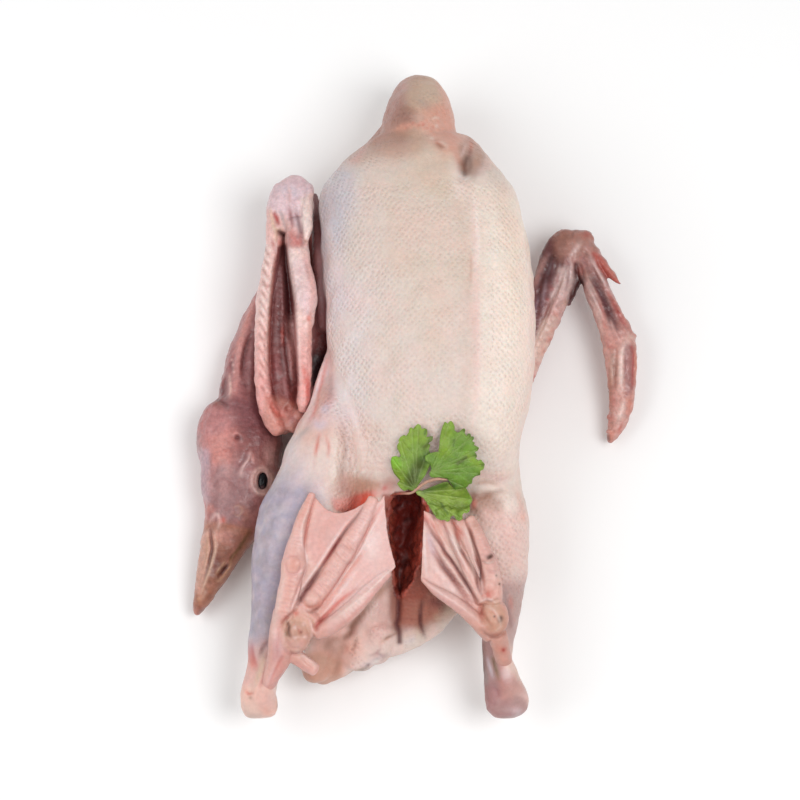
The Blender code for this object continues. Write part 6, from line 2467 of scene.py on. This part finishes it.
def right_foot_marks() -> tuple[Mark, ...]:
    """The deep folds of the right web, and the spots on its toes and sole; the pale and cream ridges beside
    the folds are painted highlights.

    Returns:
        The marks, in the order in which they go on.
    """
    return (
        patch(((424, 512), (468, 514), (502, 580), (500, 600), (478, 624), (424, 580)), 3, Tone.FOOT, 0.55),
        patch(((424, 520), (432, 535), (450, 560), (470, 590), (474, 618), (450, 604), (426, 578)), 3,
              Tone.PINK, 0.6),
        stain(((432, 556), (446, 580), (462, 600)), 4.5, Tone.PALE, 0.5),
        ridge(((446, 528), (452, 542), (458, 560)), 4.0, 0.8, Tone.CREAM, 0.6),
        stain(((480, 536), (488, 556), (494, 580)), 3.6, Tone.ROSE, 0.45),
        stain(((473, 520), (478, 530)), 2.6, Tone.TAN, 0.6),
        groove(((430, 519), (436, 531), (444, 545)), 1.0, 0.8, Tone.CORAL, 0.55),
        stain(((422, 513), (425, 518), (430, 524)), 2.0, Tone.CORAL, 0.6),
        *rungs(((472, 520), (480, 540), (486, 556)), 7.5, 3.8, 0.9, 0.3, Tone.ROSE, 0.3),
        groove(((481, 561), (488, 563), (495, 560)), 1.1, 1.0, Tone.BROWN, 0.6),
        groove(((486, 570), (493, 572), (499, 569)), 1.0, 0.7, Tone.ROSE, 0.5),
        stain(((484, 588), (492, 592), (496, 586)), 4.0, Tone.SALMON, 0.5),
        *rungs(((446, 560), (456, 578), (468, 598)), 5, 5, 1.0, 0.4, Tone.ROSE, 0.3, 30),
        groove(((422, 515), (431, 530), (441, 543), (445, 553), (454, 564), (462, 577), (470, 589),
                (477, 602)), 1.3, 1.2, Tone.RAW, 0.95),
        ridge(((428, 533), (437, 549), (446, 561), (455, 574), (464, 587), (472, 600)), 1.3, 0.9,
              Tone.CREAM, 0.75),
        ridge(((436, 530), (446, 545), (455, 559), (463, 572), (471, 586), (478, 597)), 1.3, 0.7,
              Tone.CREAM, 0.7),
        groove(((431, 542), (441, 563), (450, 575), (460, 588), (470, 604)), 2.4, 1.2, Tone.RAW, 0.85),
        stain(((438, 558), (447, 571), (457, 584)), 1.6, Tone.WINE, 0.6),
        stain(((428, 532), (431, 545), (434, 556)), 2.4, Tone.LILAC, 0.7),
        groove(((439, 519), (445, 528), (451, 537)), 1.2, 1.1, Tone.CORAL, 0.7),
        ridge(((441, 522), (448, 534), (455, 546), (462, 560), (469, 574)), 1.3, 0.6, Tone.PALE, 0.7),
        ridge(((476, 562), (480, 574), (483, 588)), 1.0, 0.5, Tone.PALE, 0.6),
        groove(((459, 548), (467, 558), (475, 570)), 1.2, 1.1, Tone.CORAL, 0.6),
        groove(((451, 518), (456, 526), (463, 535)), 1.2, 1.0, Tone.CORAL, 0.65),
        groove(((454, 524), (457, 537), (461, 549), (469, 563), (475, 574), (478, 587), (483, 597)), 1.3,
               1.3, Tone.RAW, 0.8),
        stain(((456, 530), (459, 543)), 2.0, Tone.CORAL, 0.5),
        ridge(((464, 528), (468, 542), (474, 558), (479, 574)), 1.6, 1.0, Tone.PINK, 0.5),
        groove(((467, 524), (471, 535), (475, 549), (478, 562), (482, 575), (484, 589)), 1.4, 1.2, Tone.RAW,
               0.85),
        groove(((470, 530), (473, 542)), 1.2, 0.8, Tone.BROWN, 0.6),
        *(stain(spots, size, Tone.DIRT, 0.9) for spots, size in (
            (((487, 559.5), (490, 557.5), (492, 556)), 1.1), (((496.5, 575.5),), 0.9),
            (((499, 583), (500, 585)), 0.9))),
        stain(((486, 596), (491, 594)), 3.0, Tone.CORAL, 0.7),
        groove(((482, 598), (490, 602), (500, 599)), 1.5, 1.2, Tone.BROWN, 0.55),
        patch(((482, 604), (496, 602), (505, 612), (506, 628), (494, 634), (484, 624)), 3, Tone.SALMON,
              0.35),
        groove(((480.5, 606), (482, 613), (486, 620), (492, 628)), 1.8, 1.5, Tone.RED, 0.6),
        patch(((486, 606), (496, 603), (503, 614), (502, 628), (492, 630), (486, 620)), 3, Tone.SAND, 0.6),
        groove(((490, 610), (495, 613), (496, 620)), 1.2, 0.7, Tone.SALMON, 0.6),
        *(stain((spot,), size, Tone.UMBER, 0.9) for spot, size in (
            ((500.6, 618), 1.9), ((500, 621), 1.6), ((494.5, 616.5), 0.9))),
        ridge(((486, 606), (495, 611), (501, 626), (494, 632)), 1.2, 0.6, Tone.CREAM, 0.6),
        ridge(((480, 602), (487, 599), (495, 602)), 1.1, 0.7, Tone.PALE, 0.6),
        groove(((482, 630), (489, 636), (497, 637), (506, 632)), 1.6, 1.5, Tone.BROWN, 0.65),
        stain(((426, 586), (446, 601), (466, 614)), 1.8, Tone.ROSE, 0.5),
        ridge(((428, 584), (448, 598), (468, 612)), 1.3, 0.5, Tone.PALE, 0.4),
        groove(((424, 530), (425, 552), (428, 572)), 1.6, 0.6, Tone.PINK, 0.4),
        stain(((481, 642), (484, 662), (486, 684)), 1.6, Tone.BROWN, 0.75),
        stain(((503.3, 650),), 2.6, Tone.CORAL, 0.7),
        stain(((503.3, 650),), 1.1, Tone.RED, 0.85),
        stain(((431, 533), (441, 546), (449, 556), (455.5, 566), (462.7, 577), (470, 590), (478, 601)), 0.9,
              Tone.WINE, 0.8),
        stain(((458, 544.5), (462.7, 552.7), (470, 562.7), (476.4, 573.6), (478, 588), (481.8, 595.5)), 0.8,
              Tone.WINE, 0.6),
        stain(((466, 552), (472, 564), (474, 580)), 2.4, Tone.CREAM, 0.6),
        stain(((469, 529), (473.6, 542.7), (478, 553.6), (481, 566), (480, 581), (482, 593.6)), 0.9,
              Tone.WINE, 0.75),
        ridge(((463.6, 526), (470, 541), (476, 557)), 1.4, 0.5, Tone.CREAM, 0.7),
        ridge(((445.5, 524.5), (454.5, 539), (461, 552)), 1.4, 0.5, Tone.CREAM, 0.7),
        ridge(((424.5, 526), (424.5, 549), (427, 576)), 1.0, 0.4, Tone.PALE, 0.7),
        stain(((486, 557.5), (490, 556.5), (493, 554.5)), 1.8, Tone.UMBER, 0.9),
        ridge(((485, 562), (490, 563), (494, 561)), 0.9, 0.5, Tone.CREAM, 0.7),
        stain(((497, 570), (499, 580)), 2.0, Tone.CREAM, 0.4),
        stain(((503, 672), (508, 684), (514, 700)), 5, Tone.MAUVE, 0.3),
        stain(((501, 668), (505, 680)), 2.0, Tone.CORAL, 0.3),
        stain(((496, 643), (499, 655)), 3.0, Tone.SALMON, 0.5),
        stain(((510, 668), (516, 684)), 2.4, Tone.TAN, 0.6),
        groove(((495, 688), (499, 692)), 1.2, 1.2, Tone.UMBER, 0.6),
    )


def right_foot() -> Foot:
    """The foot on the +X side, its toes bunched and its web in deep folds.

    Returns:
        The foot, not yet built.
    """
    outer = ((493, 600, 88, 9.5, 6.5), (493, 592, 89, 10, 6.5), (491.5, 578, 91, 10, 6.5),
             (488, 563, 93, 9.5, 6.5), (482, 548, 95, 8.5, 6), (476, 532, 97, 7, 5),
             (470, 519, 98, 5.5, 3.5))
    middle = ((482, 600, 87, 7, 6), (477, 588, 89, 6.5, 6), (472, 578, 91, 6.2, 6), (464, 560, 94, 6, 5.5),
              (455, 540, 96, 5.5, 5), (446, 518, 98, 4, 3.5))
    inner = ((489, 636, 79, 7, 6), (478, 623, 84, 7.5, 5.5), (462, 608, 87, 7, 5), (446, 597, 90, 6, 4.5),
             (432, 588, 92, 4, 3.5), (423, 580, 93, 2, 2))
    shank = ((497, 634, 78, 10, 8), (501.5, 650, 70, 9, 8.5), (504, 663, 61, 8, 8), (506, 674, 51, 6, 7))
    line = ((484, 606, 84), (466, 582, 88), (446, 552, 92), (434, 530, 95), (424, 511, 97))
    webs = (
        Web(((480, 618, 83), (452, 600, 88), (434, 590, 91), (421, 579, 93)), line, 0.0, 1.0),
        Web(line, tuple(station[:3] for station in middle), 0.0, 1.6, 1, 0.8),
        Web(tuple(station[:3] for station in middle), tuple(station[:3] for station in outer), 0.0, 1.6, 1,
            0.8),
    )
    pads = ((494.5, 617, 83, 10.4, 14, 9), (490, 585, 90, 7.5, 9, 7.5))
    return Foot("right_foot", (shank, outer, middle, inner), pads, webs, right_foot_marks())


@dataclass(frozen=True)
class Leaflet:
    """One lobed leaflet.

    outline holds the pixels of its edge, base and tips the veins' ends, layer how far above the skin it
    lies, and shades the stains of its darker and paler places.
    """

    outline: Pixels
    base: tuple[float, float]
    tips: Pixels
    layer: float
    tone: Tone
    shades: tuple[Mark, ...] = ()


@dataclass(frozen=True)
class Sprig:
    """The coriander: three lobed leaflets and their stems, some millimetres above the skin."""

    leaflets: tuple[Leaflet, ...]
    stems: tuple[tuple[Station, ...], ...]
    cell: float = 0.55
    thickness: float = 0.4
    gap: float = 0.6
    droop: float = 7.0
    first_guess: float = 105.0
    search_height: float = 200.0

    def build(self, skins: list[Skin], material: bpy.types.Material) -> None:
        """Lays the leaflets and the stems over the skins.

        Args:
            skins: The skins that it may lie on.
            material: The material of leaves and stems.
        """
        graph = bpy.context.evaluated_depsgraph_get()
        ground = [BVHTree.FromObject(skin.piece, graph) for skin in skins]
        self.leaves(ground, material)
        self.stalks(ground, material)

    def leaves(self, ground: list[BVHTree], material: bpy.types.Material) -> None:
        """Cuts each leaflet out of a fine grid and bends it to follow the skin below.

        Args:
            ground: The skins below, to be searched from above.
            material: The leaves' material.
        """
        bm = bmesh.new()
        tint_layer = bm.verts.layers.float_color.new("tint")
        vein_layer = bm.verts.layers.float.new("vein")
        for number, leaflet in enumerate(self.leaflets):
            places = self.cut_out(bm, leaflet)
            seen = np.array(list(places.values()))
            vein = self.vein(leaflet, seen)
            heights = self.heights(ground, seen) + self.gap + leaflet.layer
            heights += lumps(seen, 16, 60 + number) * 0.8 - vein * 0.35 + lumps(seen, 5, 70 + number) * 0.15
            tint = np.tile(leaflet.tone.linear(), (len(seen), 1))
            for shade in leaflet.shades:
                share = (shade.weight(seen) * shade.strength)[:, None]
                tint = tint * (1 - share) + shade.tone.linear() * share
            for vertex, spot, height, colour, value in zip(places, seen, heights, tint, vein):
                vertex.co = Vector(LENS.at(*spot, height)) * MM
                vertex[tint_layer] = (*colour, 1)
                vertex[vein_layer] = value
        mesh = bpy.data.meshes.new("coriander_leaves")
        bmesh.ops.recalc_face_normals(bm, faces=bm.faces)
        bm.to_mesh(mesh)
        bm.free()
        mesh.shade_smooth()
        mesh.materials.append(material)
        piece = bpy.data.objects.new("coriander_leaves", mesh)
        bpy.context.scene.collection.objects.link(piece)
        solid = piece.modifiers.new("solid", "SOLIDIFY")
        solid.thickness = self.thickness * MM
        hand_over(piece, "coriander_sprig")

    def cut_out(self, bm: bmesh.types.BMesh, leaflet: Leaflet) -> dict[bmesh.types.BMVert, np.ndarray]:
        """Adds a grid over the leaflet's outline, without what lies outside it.

        Args:
            bm: The mesh of all leaflets, to which this one is added.
            leaflet: The leaflet.

        Returns:
            The pixel of each new vertex, with the ones at the edge drawn onto the outline.
        """
        outline = Mark(leaflet.outline, 0.01, area=True)
        low, high = np.min(leaflet.outline, axis=0) - 1, np.max(leaflet.outline, axis=0) + 1
        size = self.cell / outline.pixel
        columns, rows = np.ceil((high - low) / size).astype(int)
        made = bmesh.ops.create_grid(bm, x_segments=int(columns), y_segments=int(rows), size=0.5)["verts"]
        seen = low + (np.array([vertex.co.xy for vertex in made]) + 0.5) * (high - low)
        inside = outline.weight(seen) > 0.5
        bmesh.ops.delete(bm, geom=[vertex for vertex, held in zip(made, inside) if not held],
                         context="VERTS")
        kept = {vertex: spot for vertex, spot, held in zip(made, seen, inside) if held}
        loose = [vertex for vertex in kept if not vertex.link_faces]
        kept = {vertex: spot for vertex, spot in kept.items() if vertex.link_faces}
        bmesh.ops.delete(bm, geom=loose, context="VERTS")
        edge = np.array(leaflet.outline + leaflet.outline[:1])
        return {vertex: nearest_on(edge, spot, 1.6 * size) if vertex.is_boundary else spot
                for vertex, spot in kept.items()}

    @staticmethod
    def vein(leaflet: Leaflet, seen: np.ndarray) -> np.ndarray:
        """How near each pixel is to a vein, from 0 to 1.

        Args:
            leaflet: The leaflet.
            seen: The pixels, one a row.

        Returns:
            A value for each.
        """
        best = np.zeros(len(seen))
        for tip in leaflet.tips:
            best = np.maximum(best, Mark((leaflet.base, tip), 0.55, fade=False).weight(seen))
            middle = tuple((np.array(leaflet.base) * 0.45 + np.array(tip) * 0.55))
            along = np.array(tip) - np.array(leaflet.base)
            for side in (-1, 1):
                turn = math.atan2(along[1], along[0]) + side * 0.6
                way = np.array([math.cos(turn), math.sin(turn)])
                end = np.array(middle) + way * np.linalg.norm(along) * 0.32
                best = np.maximum(best, 0.6 * Mark((middle, tuple(end)), 0.4, fade=False).weight(seen))
        return best

    def heights(self, ground: list[BVHTree], seen: np.ndarray) -> np.ndarray:
        """The highest skin near each pixel, so that a leaf bridges small hollows.

        Args:
            ground: The skins below.
            seen: The pixels, one a row.

        Returns:
            A height for each, in millimetres.
        """
        turns = [math.pi * k / 4 for k in range(8)]
        ring = [(0.0, 0.0)] + [(math.cos(turn) * self.droop, math.sin(turn) * self.droop) for turn in turns]
        heights = []
        for spot in seen:
            height = self.first_guess
            for _ in range(3):
                place = LENS.at(*spot, height)
                height = max(self.top(ground, place[0] + x, place[1] + y) for x, y in ring)
            heights.append(height)
        return np.array(heights)

    def top(self, ground: list[BVHTree], x: float, y: float) -> float:
        """The height of the skin at a place.

        Args:
            ground: The skins below.
            x: The place to the right, in millimetres.
            y: The place away from the viewer, in millimetres.

        Returns:
            The height, or 0 where there is no skin.
        """
        above = Vector((x, y, self.search_height)) * MM
        hits = [tree.ray_cast(above, Vector((0, 0, -1)))[0] for tree in ground]
        return max((hit.z / MM for hit in hits if hit), default=0.0)

    def stalks(self, ground: list[BVHTree], material: bpy.types.Material) -> None:
        """Makes the stems, which follow the skin below as the leaflets do.

        Args:
            ground: The skins below, to be searched from above.
            material: The stems' material.
        """
        flesh = Flesh()
        for stem in self.stems:
            seen = np.array(stem)[:, :2]
            heights = self.heights(ground, seen)
            heights = np.minimum(heights, heights[-2:].max() + 1) + np.array(stem)[:, 2]
            flesh.strand(tuple((*spot, height, *station[3:])
                               for spot, height, station in zip(seen, heights, stem)), 4, 12)
        piece = flesh.link("coriander_stems")
        seen = LENS.pixels(np.array([vertex.co for vertex in piece.data.vertices]) / MM)
        share = smooth_step(seen[:, 0], 398, 412)[:, None]
        tint = Tone.RAW.linear() * (1 - share) + Tone.TAN.linear() * share
        layer = piece.data.attributes.new("tint", "FLOAT_COLOR", "POINT")
        rgba = np.concatenate([tint, np.ones((len(tint), 1))], axis=1)
        layer.data.foreach_set("color", rgba.astype(np.float32).ravel())
        piece.data.attributes.new("vein", "FLOAT", "POINT")
        piece.data.shade_smooth()
        piece.data.materials.append(material)
        hand_over(piece, "coriander_sprig")


def nearest_on(edge: np.ndarray, spot: np.ndarray, reach: float) -> np.ndarray:
    """The place on a run of pixels that is nearest to a spot, or the spot itself if that is too far.

    Args:
        edge: The run of pixels, one a row.
        spot: The spot.
        reach: How far is too far, in pixels.

    Returns:
        The place, as a pixel.
    """
    start, span = edge[:-1], np.diff(edge, axis=0)
    share = np.clip(((spot - start) * span).sum(axis=1) / np.maximum((span ** 2).sum(axis=1), 1e-9), 0, 1)
    places = start + share[:, None] * span
    away = np.linalg.norm(places - spot, axis=1)
    best = int(np.argmin(away))
    return places[best] if away[best] < reach else spot


def left_leaflet() -> Leaflet:
    """The upright leaflet on the left.

    Returns:
        The leaflet.
    """
    return Leaflet(
        outline=(
            (416, 490), (412, 491), (408, 489.5), (404, 491), (400, 488), (397, 483.5), (400, 480.5),
            (397, 477), (394, 473.5), (391.7, 468), (390.5, 461.7), (391.7, 457), (395.5, 456),
            (399.4, 457), (400.5, 455.5), (399, 451.5), (397.3, 449), (397, 445), (399, 442.5),
            (398.4, 440), (400.5, 437), (404, 434.6), (406, 436), (408.6, 432.5), (409.4, 428.5),
            (411, 426.7), (413, 429), (414.8, 426.7), (417.8, 423.8), (420.6, 425.6), (421.7, 429),
            (424.8, 428), (427, 429.4), (427.5, 433.5), (426.2, 437), (429, 436.6), (433.2, 436),
            (432.4, 440.5), (428.4, 443.3), (430.3, 445), (428.6, 449.6), (430, 453), (431, 458),
            (430.5, 464), (428, 469), (425.2, 475), (421.3, 481), (417.4, 486),
        ),
        base=(415, 489),
        tips=((393, 459), (400, 441), (412, 429), (418.5, 426), (431, 438), (398, 482)),
        layer=1.6,
        tone=Tone.LEAF,
        shades=(
            stain(((402, 446), (410, 434), (422, 433)), 7, Tone.LEAF_YOUNG, 0.8, fade=False),
            stain(((394, 459), (397, 466)), 3.5, Tone.LEAF_BRIGHT, 0.9, fade=False),
            stain(((396, 472), (402, 484)), 4, Tone.LEAF_YOUNG, 0.6, fade=False),
            # painted shade in the fold near the leaflet's base
            stain(((412, 483), (416, 472), (421, 464), (428, 456)), 4.4, Tone.LEAF_DARK, 0.95, fade=False),
            stain(((410, 482), (414, 474), (419, 465)), 4.0, Tone.OLIVE_DARK, 0.9, fade=False),
            stain(((424, 447), (428, 444), (431, 438)), 2.0, Tone.OLIVE_DARK, 0.85, fade=False),
            stain(((425, 434), (426, 430)), 1.2, Tone.LEAF_DARK, 0.7, fade=False),
        ),
    )


def upper_leaflet() -> Leaflet:
    """The broad leaflet behind the others.

    Returns:
        The leaflet.
    """
    return Leaflet(
        outline=(
            (431, 477.4), (429, 474), (431.5, 469), (430, 463), (425.5, 460.5), (424.8, 456.5),
            (429, 453.5), (434, 452), (438.4, 451.5), (439.4, 445), (439.8, 438), (441.2, 431),
            (443, 425.5), (445, 421.5), (447.4, 423.6), (450.6, 420.4), (453, 422.5), (454.8, 426.3),
            (454.6, 430), (457, 432.6), (459.8, 432), (461, 429.8), (464, 428), (465.6, 429.6),
            (464.6, 433.4), (466.6, 436), (467.8, 433.6), (470.4, 433.4), (471, 436.4), (474.2, 436.4),
            (473.6, 439.6), (471.8, 441), (474.8, 442.6), (473.8, 445), (477, 446.4), (479.2, 447.6),
            (477.6, 451), (474.6, 451.9), (476.4, 454), (477.2, 457), (475.2, 458.2), (478.6, 460.4),
            (481, 459.2), (482, 461), (484.9, 464), (483.4, 469.4), (480.2, 471), (480.4, 474.8),
            (476.3, 475.7), (472.5, 478), (471.8, 483.2), (469, 484), (467, 487), (461, 488),
            (455, 489.6), (453, 486.3), (449.4, 481.8), (447.4, 478.4), (439.4, 477.2), (434, 477.6),
        ),
        base=(431, 472),
        tips=(
            (449, 424), (463, 431), (471, 437), (477, 449), (475, 456), (483, 465), (478, 473),
            (463, 486), (427, 458),
        ),
        layer=2.8,
        tone=Tone.LEAF_BLUE,
        shades=(
            stain(((443, 450), (445, 436), (450, 424)), 6, Tone.LEAF_YOUNG, 0.75, fade=False),
            stain(((456, 436), (466, 434), (472, 440)), 4, Tone.LEAF, 0.6, fade=False),
            stain(((468, 456), (476, 462), (482, 466)), 3, Tone.LEAF_YOUNG, 0.7, fade=False),
            stain(((457.5, 463), (462, 460.5), (466, 457.5)), 1.5, Tone.OLIVE_DARK, 0.9, fade=False),
            stain(((454.5, 440), (453.8, 446)), 0.9, Tone.LEAF_DARK, 0.6, fade=False),
            *(stain((spot,), 1.8, Tone.OLIVE_DARK, 0.75) for spot in ((463.5, 430), (469, 434.5),
                                                                      (473, 437), (478, 448.5), (476, 455),
                                                                      (483, 465), (479, 474))),
            # painted shade where the upper and lower leaflets meet
            *(stain((spot,), 2.2, Tone.LEAF_DARK, 0.9) for spot in ((449, 483), (454, 486))),
            stain(((436, 462), (442, 474)), 5, Tone.LEAF_BLUE, 0.5, fade=False),
        ),
    )


def lower_leaflet() -> Leaflet:
    """The pale leaflet nearest the feet.

    Returns:
        The leaflet.
    """
    return Leaflet(
        outline=(
            (414.8, 491), (418, 490.4), (422.5, 491), (430.2, 487.6), (437.8, 484.6), (443.2, 482.5),
            (447.8, 481.8), (450.2, 484.8), (453.2, 487.2), (459.4, 487), (465.5, 487), (467.5, 491),
            (469.4, 494), (471.7, 497.8), (472.2, 501), (469.6, 505), (470, 510.6), (467, 513.4),
            (464, 512.8), (462.3, 514.8), (462.8, 519), (459.4, 521.2), (456.3, 519.4), (454, 515.3),
            (451, 516.3), (449.6, 521), (447, 521.9), (444, 519.6), (441, 520.4), (436.3, 518),
            (435, 515), (433.2, 513.4), (431.8, 510), (430.2, 508.6), (427, 502.5), (423.2, 497.8),
            (417.8, 494.8),
        ),
        base=(417, 492),
        tips=((448, 519), (459, 518), (467, 511), (470, 499), (462, 489), (437, 515)),
        layer=0.8,
        tone=Tone.LEAF_PALE,
        shades=(
            stain(((430, 505), (440, 515), (448, 518)), 3, Tone.LEAF, 0.75, fade=False),
            stain(((456, 518), (460, 515)), 3, Tone.LEAF, 0.7, fade=False),
            # painted shade along the top edge, under the stem
            stain(((424, 491), (434, 488), (446, 485)), 2.6, Tone.LEAF_DARK, 0.8, fade=False),
            stain(((441, 503), (444.5, 509), (447.8, 514)), 1.0, Tone.LEAF_DARK, 0.7, fade=False),
            stain(((467, 492), (470, 503), (468, 511)), 2.4, Tone.LEAF, 0.6, fade=False),
        ),
    )


def coriander() -> Sprig:
    """The sprig beside the cut in the belly.

    Returns:
        The sprig, not yet built.
    """
    stems = (
        ((391, 495.5, 0.6, 1.0, 0.8), (396, 494, 0.6, 1.2, 0.9), (403, 493.5, 0.8, 1.3, 1.0),
         (411, 493, 1.2, 1.3, 1.0), (417, 489, 1.6, 1.5, 1.1)),
        ((416, 490, 1.6, 1.4, 1.0), (421, 485.5, 2.0, 1.4, 1.0), (428, 481.5, 2.4, 1.6, 1.1),
         (437, 479, 2.8, 1.6, 1.1), (447, 479.5, 2.4, 0.9, 0.8)),
    )
    return Sprig((lower_leaflet(), left_leaflet(), upper_leaflet()), stems)


@dataclass(frozen=True)
class Studio:
    """The plain pale floor, the soft lights and the colour management."""

    floor_size: float = 8.0
    floor_tone: tuple[float, float, float] = (0.95, 0.95, 0.95)
    world_strength: float = 0.45

    def build(self) -> None:
        """Makes the studio."""
        scene = bpy.context.scene
        bm = bmesh.new()
        bmesh.ops.create_grid(bm, x_segments=1, y_segments=1, size=self.floor_size / 2)
        mesh = bpy.data.meshes.new("floor")
        bm.to_mesh(mesh)
        bm.free()
        floor = bpy.data.objects.new("floor", mesh)
        scene.collection.objects.link(floor)
        n = Nodes("floor")
        n.shader.inputs["Base Color"].default_value = (*self.floor_tone, 1)
        n.shader.inputs["Roughness"].default_value = 0.9
        mesh.materials.append(n.material)
        self.light("key", (0.75, -0.45, 1.7), 1.0, 18)
        self.light("fill", (-1.15, -0.2, 1.35), 1.4, 13)
        world = bpy.data.worlds.new("studio")
        world.use_nodes = True
        world.node_tree.nodes["Background"].inputs["Color"].default_value = (1, 1, 1, 1)
        world.node_tree.nodes["Background"].inputs["Strength"].default_value = self.world_strength
        scene.world = world
        scene.view_settings.view_transform = "Standard"

    @staticmethod
    def light(name: str, place: Station, size: float, power: float) -> None:
        """A square soft light that faces the bird.

        Args:
            name: The light's name.
            place: Where it stands, in metres.
            size: Its width, in metres.
            power: Its power, in watts.
        """
        data = bpy.data.lights.new(name, "AREA")
        data.size = size
        data.energy = power
        lamp = bpy.data.objects.new(name, data)
        lamp.location = place
        lamp.rotation_euler = Vector(place).to_track_quat("Z", "Y").to_euler()
        bpy.context.scene.collection.objects.link(lamp)


def main() -> None:
    """Builds the bird, the sprig and the studio."""
    logging.basicConfig(level=logging.INFO, format="%(message)s")
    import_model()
    LENS.build()
    Studio().build()
    body = Body().build(SkinFinish("goose_skin").build())
    NeckAndHead().build(SkinFinish("head_skin", pore_share=0.2, mottle=0.16, roughness=0.36,
                                   coat=0.3).build())
    Eye().build(WetFinish("eye").build())
    wing_skin = SkinFinish("wing_skin", pore_share=0.25, mottle=0.14, roughness=0.34, coat=0.3).build()
    LeftWing().build(wing_skin)
    RightWing().build(wing_skin)
    foot_skin = SkinFinish("foot_skin", pore_share=0, mottle=0.06, cell_size=1.3, cell_depth=0.06,
                           roughness=0.38,
                           coat=0.22).build()
    left, right = left_foot().build(foot_skin), right_foot().build(foot_skin)
    coriander().build([body, left, right], LeafFinish().build())


if __name__ == "__main__":
    main()
